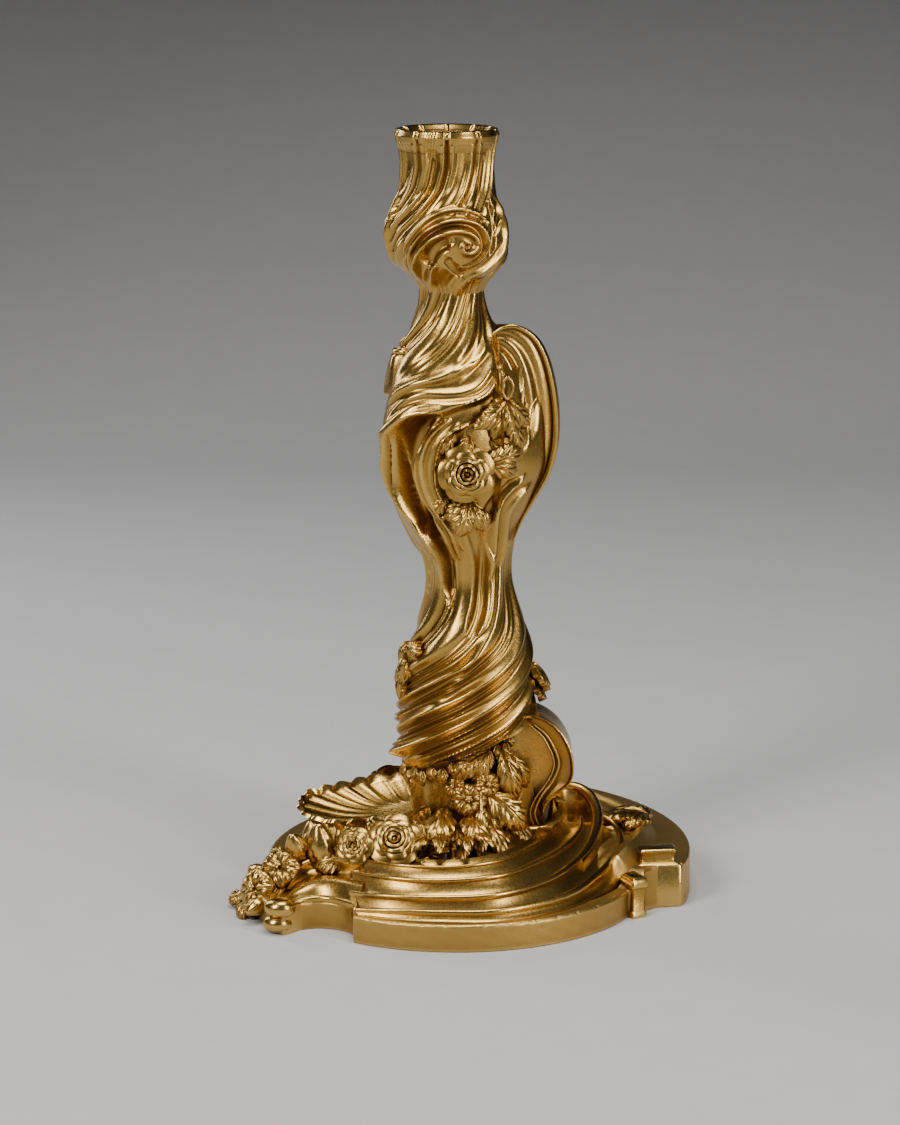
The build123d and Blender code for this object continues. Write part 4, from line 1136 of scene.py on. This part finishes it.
def tulip():
    skin = Skin()
    bud(skin, (-55.5, -40, 17), (-58.5, -43.5, 37), 6.8, 1)
    leaf(skin, (-52.0, -43.0, 20.0), (0, 0, 1), (0.2, -1, 0.1), 15, 8, 4)
    leaf(skin, (-61.0, -42.0, 19.0), (-0.2, 0, 1), (-0.6, -1, 0.1), 14, 8, 4)
    skin.mesh("tulip", gilt, "tulip_bud")


def garland():
    """Buds, open flowers and small leaves that trail down over the left corner."""
    skin = Skin()
    bud(skin, (-65, -40, 22), (-69, -46, 33), 4.6, 2)
    bud(skin, (-60, -36, 24), (-62, -33, 35), 4.2, 3)
    blossom(skin, (-74.0, -47.0, 20.0), (-0.4, -0.7, 0.75), 8.8, 11)
    blossom(skin, (-83.5, -51.0, 12.5), (-0.7, -0.65, 0.4), 8.6, 12)
    blossom(skin, (-88.0, -45.0, 5.5), (-0.9, -0.35, 0.3), 7.6, 13)
    bud(skin, (-80, -42, 14), (-86.5, -38, 17), 3.9, 4)
    bud(skin, (-80, -55, 8), (-86, -61, 5.5), 3.6, 5)
    rng = random.Random(8)
    for root in ((-70, -42, 22), (-77, -44, 16), (-80, -52, 10), (-86, -48, 7), (-84, -38, 9), (-76, -50, 14),
                 (-82, -56, 5), (-88, -40, 5), (-73, -38, 20), (-79, -37, 14)):
        tip = (rng.uniform(-1, 0.2), rng.uniform(-1, 0.6), rng.uniform(-0.8, 0.4))
        leaf(skin, root, tip, (-0.5, -0.6, 0.7), rng.uniform(8, 11), rng.uniform(5, 6.5), 3)
    skin.mesh("garland", gilt, "corner_garland")


def acanthus():
    """Leaves on the floor, up the neck and round the roses: place, turn, then rise, length and width."""
    skin = Skin()
    for x, y, turn, length in ((-15, -44, 200, 17), (-12, -43, 235, 16), (-8, -42, 262, 17),
                               (-3, -41, 290, 15), (0, -38, 325, 14), (-18, -41, 170, 13)):
        outward = -0.5 * heading(turn) + (0, 0, 1)
        leaf(skin, (x, y, 26), heading(turn, 0.45), outward, length, 8, 4, 0.3, 0.35, 1.0)
    for root, turn, lift, length, width in (
            ((-15, -17, 36), 235, -0.10, 27, 12), ((-8, -19, 36), 262, -0.12, 27, 12),
            ((1, -19, 35), 285, -0.16, 25, 11), ((-13, -20, 31), 250, -0.15, 26, 11),
            ((-4, -21, 31), 274, -0.20, 27, 12), ((6, -19, 31), 300, -0.16, 22, 10),
            ((13, -16, 32), 320, -0.10, 20, 9), ((-21, -15, 32), 225, -0.05, 24, 11)):
        outward = (0.2 * heading(turn)[0], -0.3, 1)
        leaf(skin, root, heading(turn, lift), outward, length, width, 5, 0.16, 0.3, 1.2)
    for root, turn, lift, length in (
            ((-20, -40, 27), 100, 0.8, 13), ((-27, -38, 27), 120, 0.9, 13), ((-35, -39, 26), 95, 0.8, 13),
            ((-42, -40, 25), 130, 0.8, 12), ((-48, -41, 25), 200, 0.6, 12), ((-49, -47, 23), 240, 0.5, 11),
            ((-35.5, -52, 24), 270, 0.2, 10), ((-21, -52, 24), 300, 0.3, 10), ((-14, -47, 25), 30, 0.7, 12),
            ((-52, -38, 26), 160, 0.9, 12)):
        leaf(skin, root, heading(turn, lift), (0, -1, 0.8), length, 8.5, 4, 0.25, 0.2, 1.1)
    leaf(skin, (-19.0, -45.0, 22.0), (0.15, 0, 1), (0.25, -1, 0.1), 15, 6, 1, 0.3, 0.1, 1.4)
    leaf(skin, (-35.5, -48.0, 22.0), (-0.1, 0, 1), (0.1, -1, 0.1), 11, 5, 1, 0.3, 0.1, 1.2)
    skin.mesh("acanthus", gilt, "floor_acanthus")


def flat_spray(name, replaced, root, lift, width, arch, leaves):
    """Leaves that lie on the floor and fan out from one root: turn and length of each."""
    skin = Skin()
    for turn, length in leaves:
        leaf(skin, root, heading(turn, lift), (0, 0, 1), length, width, 5, arch, 0.1, 1.4)
    skin.mesh(name, gilt, replaced)


def base_ornaments():
    single_rose("large_rose_bloom", "large_rose", (-27.6, -46.5, 29.8), (-0.05, -0.8, 0.6), 10.0, 7.0, 3)
    single_rose("small_rose_bloom", "small_rose", (-43.6, -48.5, 28.6), (-0.15, -0.8, 0.55), 7.0, 5.5, 5)
    tulip()
    garland()
    acanthus()
    flat_spray("oak_sprig", "oak_leaf_sprig", (76.0, 9.0, 24.6), 0.04, 10.5, 0.2,
               ((205, 25), (176, 20), (150, 17), (232, 16), (120, 13)))
    single_rose("back_rose_bloom", "back_rose", (-32.0, 42.5, 28.5), (-0.3, 0.6, 0.75), 9.4, 7.0, 9)
    flat_spray("back_leaves", "back_acanthus", (6.0, 69.0, 23.5), 0.1, 8.5, 0.16,
               ((20, 17), (50, 12), (85, 13), (150, 21), (120, 15)))


def bouquet():
    """Leaves, flowers and a hanging bud under the collar."""
    skin = Skin()
    for root, tip, out, length, width in (
            ((9, -20, 60), (-1, -0.1, -0.75), (-0.1, -1, 0.3), 18, 9),
            ((10, -19, 61), (-0.5, -0.2, -1), (0, -1, 0.2), 15, 8),
            ((15, -17, 61), (0.25, -0.1, -1), (0.2, -1, 0.1), 24, 8.5),
            ((18, -15, 58), (0.55, 0, -1), (0.4, -1, 0.1), 17, 7),
            ((9, -22, 44), (1, -0.2, -0.95), (0.2, -1, 0.5), 22, 12),
            ((7, -21, 42), (0.35, -0.2, -1), (0.1, -1, 0.4), 19, 8),
            ((4, -21, 42), (-1, 0, -0.5), (-0.2, -1, 0.3), 12, 7),
            ((12, -20, 47), (1, 0, 0.15), (0.3, -1, 0.4), 13, 7)):
        leaf(skin, root, tip, out, length, width, 5, 0.22, 0.1, 1.2)
    skin.mesh("bouquet_foliage", gilt, "bouquet_leaves")
    skin = Skin()
    blossom(skin, (2.0, -23.5, 41.0), (-0.1, -1, 0.35), 7.6, 21, 6)
    blossom(skin, (9.5, -22.5, 47.0), (0.3, -1, 0.3), 5.4, 22)
    blossom(skin, (-4.5, -21.5, 46.0), (-0.5, -1, 0.3), 4.8, 23)
    skin.mesh("bouquet_blooms", gilt, "bouquet_flowers")
    skin = Skin()
    bud(skin, (7.0, -29, 38), (7.4, -31, 25.5), 3.1, 3)
    stalk = [(6.5, -22, 46), (6.8, -26, 42), (7.0, -28.6, 37.5)]
    skin.band(stalk, [0.7, 0.7], [0.7, 0.7], (0.2, -1, 0.2), 20, 1.0)
    skin.mesh("bud_on_stalk", gilt, "hanging_bud")


# Picture points of the knop's ornaments
KNOP_ROSE = (466, 473)
UPPER_SPRAY = (503, 398)
LOWER_SPRAY = (468, 498)
LOWER_BUD = (481, 527)
# Leaves round the rose: picture point, direction of the tip, length and width
ROSE_LEAVES = (((455, 432), (-0.7, 0, -0.8), 12, 6.5), ((470, 436), (-0.3, 0, -1), 12, 7),
               ((448, 452), (-0.8, 0, 0.5), 9, 6), ((490, 440), (0.8, 0, -0.4), 13, 7),
               ((508, 418), (0.5, 0, -1), 17, 7), ((446, 496), (-0.6, 0, -0.9), 9, 6))
SIDE_LEAVES = (((486, 462), (1, 0.3, 0.35), 15, 8.5), ((486, 464), (1, 0.3, -0.25), 13, 8))


def leaves_on_knop(skin, leaves, lift):
    for picture_point, tip, length, width in leaves:
        place, out = on_knop(picture_point, lift)
        leaf(skin, place, tip, out, length, width, 4, 0.2, 0.1, 1.1)


def upper_sprays():
    """The spray that hangs from a loop above the rose, and the leaves round the rose."""
    skin = Skin()
    top, out = on_knop(UPPER_SPRAY, 2.0)
    for tip, length, width, twist in (((-0.95, -0.1, -0.62), 19, 8, 0.1), ((-0.45, -0.15, -1), 17, 7.5, 0.0),
                                      ((0.25, 0, -1), 18, 8.5, 0.0), ((0.8, 0.3, -1), 17, 8, -0.1)):
        leaf(skin, top, tip, out, length, width, 5, 0.18, 0.05, 1.1, twist)
    leaves_on_knop(skin, ROSE_LEAVES, 0.8)
    _, out = on_knop(ROSE_LEAVES[-1][0], 0.8)
    loop = [(0.4, -1.5, 9), (2.4, -1.5, 6.5), (2.2, -1.5, 3), (0.3, -1.2, 0), (-1.4, -1.5, 3),
            (-1.2, -1.5, 6.5), (0.4, -1.5, 9)]
    skin.band(top + np.array(loop), [0.6, 0.6], [0.6, 0.6], out, 40, 1.0)
    skin.mesh("knop_sprays", gilt, "knop_upper_leaves", "stem_studs")


def lower_spray():
    skin = Skin()
    place, out = on_knop(LOWER_SPRAY, 1.6)
    for tip, length, width in (((-0.25, 0, -1), 15.5, 10), ((-0.8, 0, -0.8), 12, 7), ((0.35, 0, -1), 13, 7)):
        leaf(skin, place, tip, out + (0, 0, 0.2), length, width, 5, 0.22, 0.12, 1.1)
    low, out = on_knop(LOWER_BUD, 2.0)
    bud(skin, low + (0.2, 0, 7), low - (0, 0, 1.5), 2.8, 2)
    skin.mesh("knop_leaf_low", gilt, "knop_lower_leaf")


def knop_ornaments():
    place, out = on_knop(KNOP_ROSE)
    single_rose("knop_bloom", "knop_rose", place + out * 0.6, out + (0.0, 0, 0.1), 10.2, 7.0, 17)
    upper_sprays()
    aside = Skin()
    leaves_on_knop(aside, SIDE_LEAVES, 2.4)
    aside.mesh("knop_leaf_right", gilt, "knop_side_leaf")
    lower_spray()
    back = math.radians(52)
    place, out = on_stem(back, 178, 0.2)
    single_rose("knop_rear_bloom", "knop_back_rose", place, out, 9.6, 6.5, 19)
    rear = Skin()
    place, out = on_stem(back, 188, 2.0)
    side = np.cross(out, (0, 0, 1))
    for share, length in ((-0.7, 15), (0.0, 17), (0.7, 15)):
        leaf(rear, place, side * share + (0, 0, 1), out, length, 8, 5, 0.18, 0.1, 1.1)
    rear.mesh("knop_rear_leaves", gilt, "knop_back_leaf")


def collar_leaves():
    """Leaves on the stem's foot: angle and height, sideways share of the tip, and length."""
    right = Skin()
    for angle, height, share, length in ((2, 92, -0.3, 13), (14, 90, 0.3, 13), (8, 84, 0.0, 10)):
        place, out = on_stem(math.radians(angle), height, 1.6)
        tip = np.cross(out, (0, 0, 1)) * share + out * 0.5 - (0, 0, 1)
        leaf(right, place, tip, out + (0, 0, 0.4), length, 8.5, 3, 0.2, -0.3, 2.0)
    right.mesh("collar_leaves_right", gilt, "collar_leaf_right")
    left = Skin()
    for angle, height, share, length in ((196, 78, 0.2, 11), (184, 82, -0.4, 11), (202, 86, 0.3, 11),
                                         (190, 91, 0.0, 11), (206, 95, -0.2, 9)):
        place, out = on_stem(math.radians(angle), height, 1.0)
        tip = np.cross(out, (0, 0, 1)) * share + (0, 0, 1) + out * 0.12
        leaf(left, place, tip, out, length, 8.5, 3, 0.22, 0.15, 2.4)
    left.mesh("collar_leaves_left", gilt, "collar_leaf_left")


castings()
base_ornaments()
bouquet()
knop_ornaments()
collar_leaves()


# Floor, backdrop, lights and camera
def paper_sheet():
    """The backdrop's mesh: a floor that curves up into a wall."""
    front, back, bend, top, half_width = -4.0, 0.9, 0.7, 3.2, 4.5
    rows = [(front, 0.0), (back, 0.0)]
    for k in range(1, 13):
        a = math.pi / 2 * k / 12
        rows.append((back + bend * math.sin(a), bend * (1 - math.cos(a))))
    rows.append((back + bend, top))
    points = [(x, y, z) for y, z in rows for x in (-half_width, half_width)]
    faces = [(2 * k, 2 * k + 1, 2 * k + 3, 2 * k + 2) for k in range(len(rows) - 1)]
    data = bpy.data.meshes.new("backdrop")
    data.from_pydata(points, [], faces)
    data.shade_smooth()
    return data


def paper():
    """Pale paper with painted shade that darkens it up the wall."""
    material = bpy.data.materials.new("backdrop_paper")
    material.use_nodes = True
    tree = material.node_tree
    shader = tree.nodes["Principled BSDF"]
    place = node(tree, "ShaderNodeTexCoord").outputs["Object"]
    height = node(tree, "ShaderNodeSeparateXYZ")
    tree.links.new(place, height.inputs[0])
    fibre = node(tree, "ShaderNodeTexNoise", in_Scale=60.0, in_Detail=4.0)
    tree.links.new(place, fibre.inputs["Vector"])
    # painted shade: the paper's colour goes from pale on the floor to near black half a metre up the wall,
    # standing in for light falling off
    grey = ramp(tree, height.outputs["Z"], [(0.0, (0.50, 0.50, 0.505)), (0.10, (0.37, 0.37, 0.375)),
                                            (0.50, (0.034, 0.034, 0.037))])
    tint = ramp(tree, fibre.outputs["Fac"], [(0.3, (0.97, 0.97, 0.97)), (0.7, (1, 1, 1))])
    tree.links.new(mix(tree, 1.0, grey, tint, "MULTIPLY"), shader.inputs["Base Color"])
    shader.inputs["Roughness"].default_value = 0.85
    shader.inputs["Specular IOR Level"].default_value = 0.2
    return material


def studio():
    data = paper_sheet()
    data.materials.append(paper())
    floor = bpy.data.objects.new("backdrop", data)
    bpy.context.scene.collection.objects.link(floor)


def softbox(name, place, target, width, height, power, tint):
    data = bpy.data.lights.new(name, "AREA")
    data.shape = "RECTANGLE"
    data.size, data.size_y = width, height
    data.energy = power
    data.color = tint
    lamp = bpy.data.objects.new(name, data)
    lamp.location = place
    aim = Vector(target) - Vector(place)
    lamp.rotation_euler = aim.to_track_quat("-Z", "Y").to_euler()
    bpy.context.scene.collection.objects.link(lamp)


def room():
    """Dim grey surroundings."""
    world = bpy.data.worlds.new("room")
    bpy.context.scene.world = world
    world.use_nodes = True
    background = world.node_tree.nodes["Background"]
    background.inputs["Color"].default_value = (0.30, 0.30, 0.31, 1)
    background.inputs["Strength"].default_value = 0.30


def viewpoint():
    """The camera, at the photograph's viewpoint."""
    lens = bpy.data.cameras.new("camera")
    lens.sensor_fit = "VERTICAL"
    lens.sensor_height = 36.0
    lens.lens = lens.sensor_height * FOCAL_PIXELS / PICTURE_HEIGHT
    camera = bpy.data.objects.new("camera", lens)
    camera.location = Vector(EYE) * MM
    camera.rotation_euler = (math.pi / 2 - PITCH, 0, 0)
    bpy.context.scene.collection.objects.link(camera)
    bpy.context.scene.camera = camera


studio()
softbox("key", (-0.75, -0.85, 0.85), (0, 0, 0.13), 0.35, 0.7, 13, (1.0, 0.96, 0.90))
softbox("side", (0.80, -0.75, 0.50), (0, 0, 0.15), 0.16, 0.8, 8, (1.0, 0.97, 0.93))
softbox("top", (0.05, -0.15, 1.20), (0, 0, 0.1), 0.6, 0.4, 9, (1.0, 0.99, 0.97))
softbox("rim", (-0.7, 0.55, 0.6), (0, 0, 0.15), 0.15, 0.8, 4, (0.97, 0.98, 1.0))
room()
viewpoint()
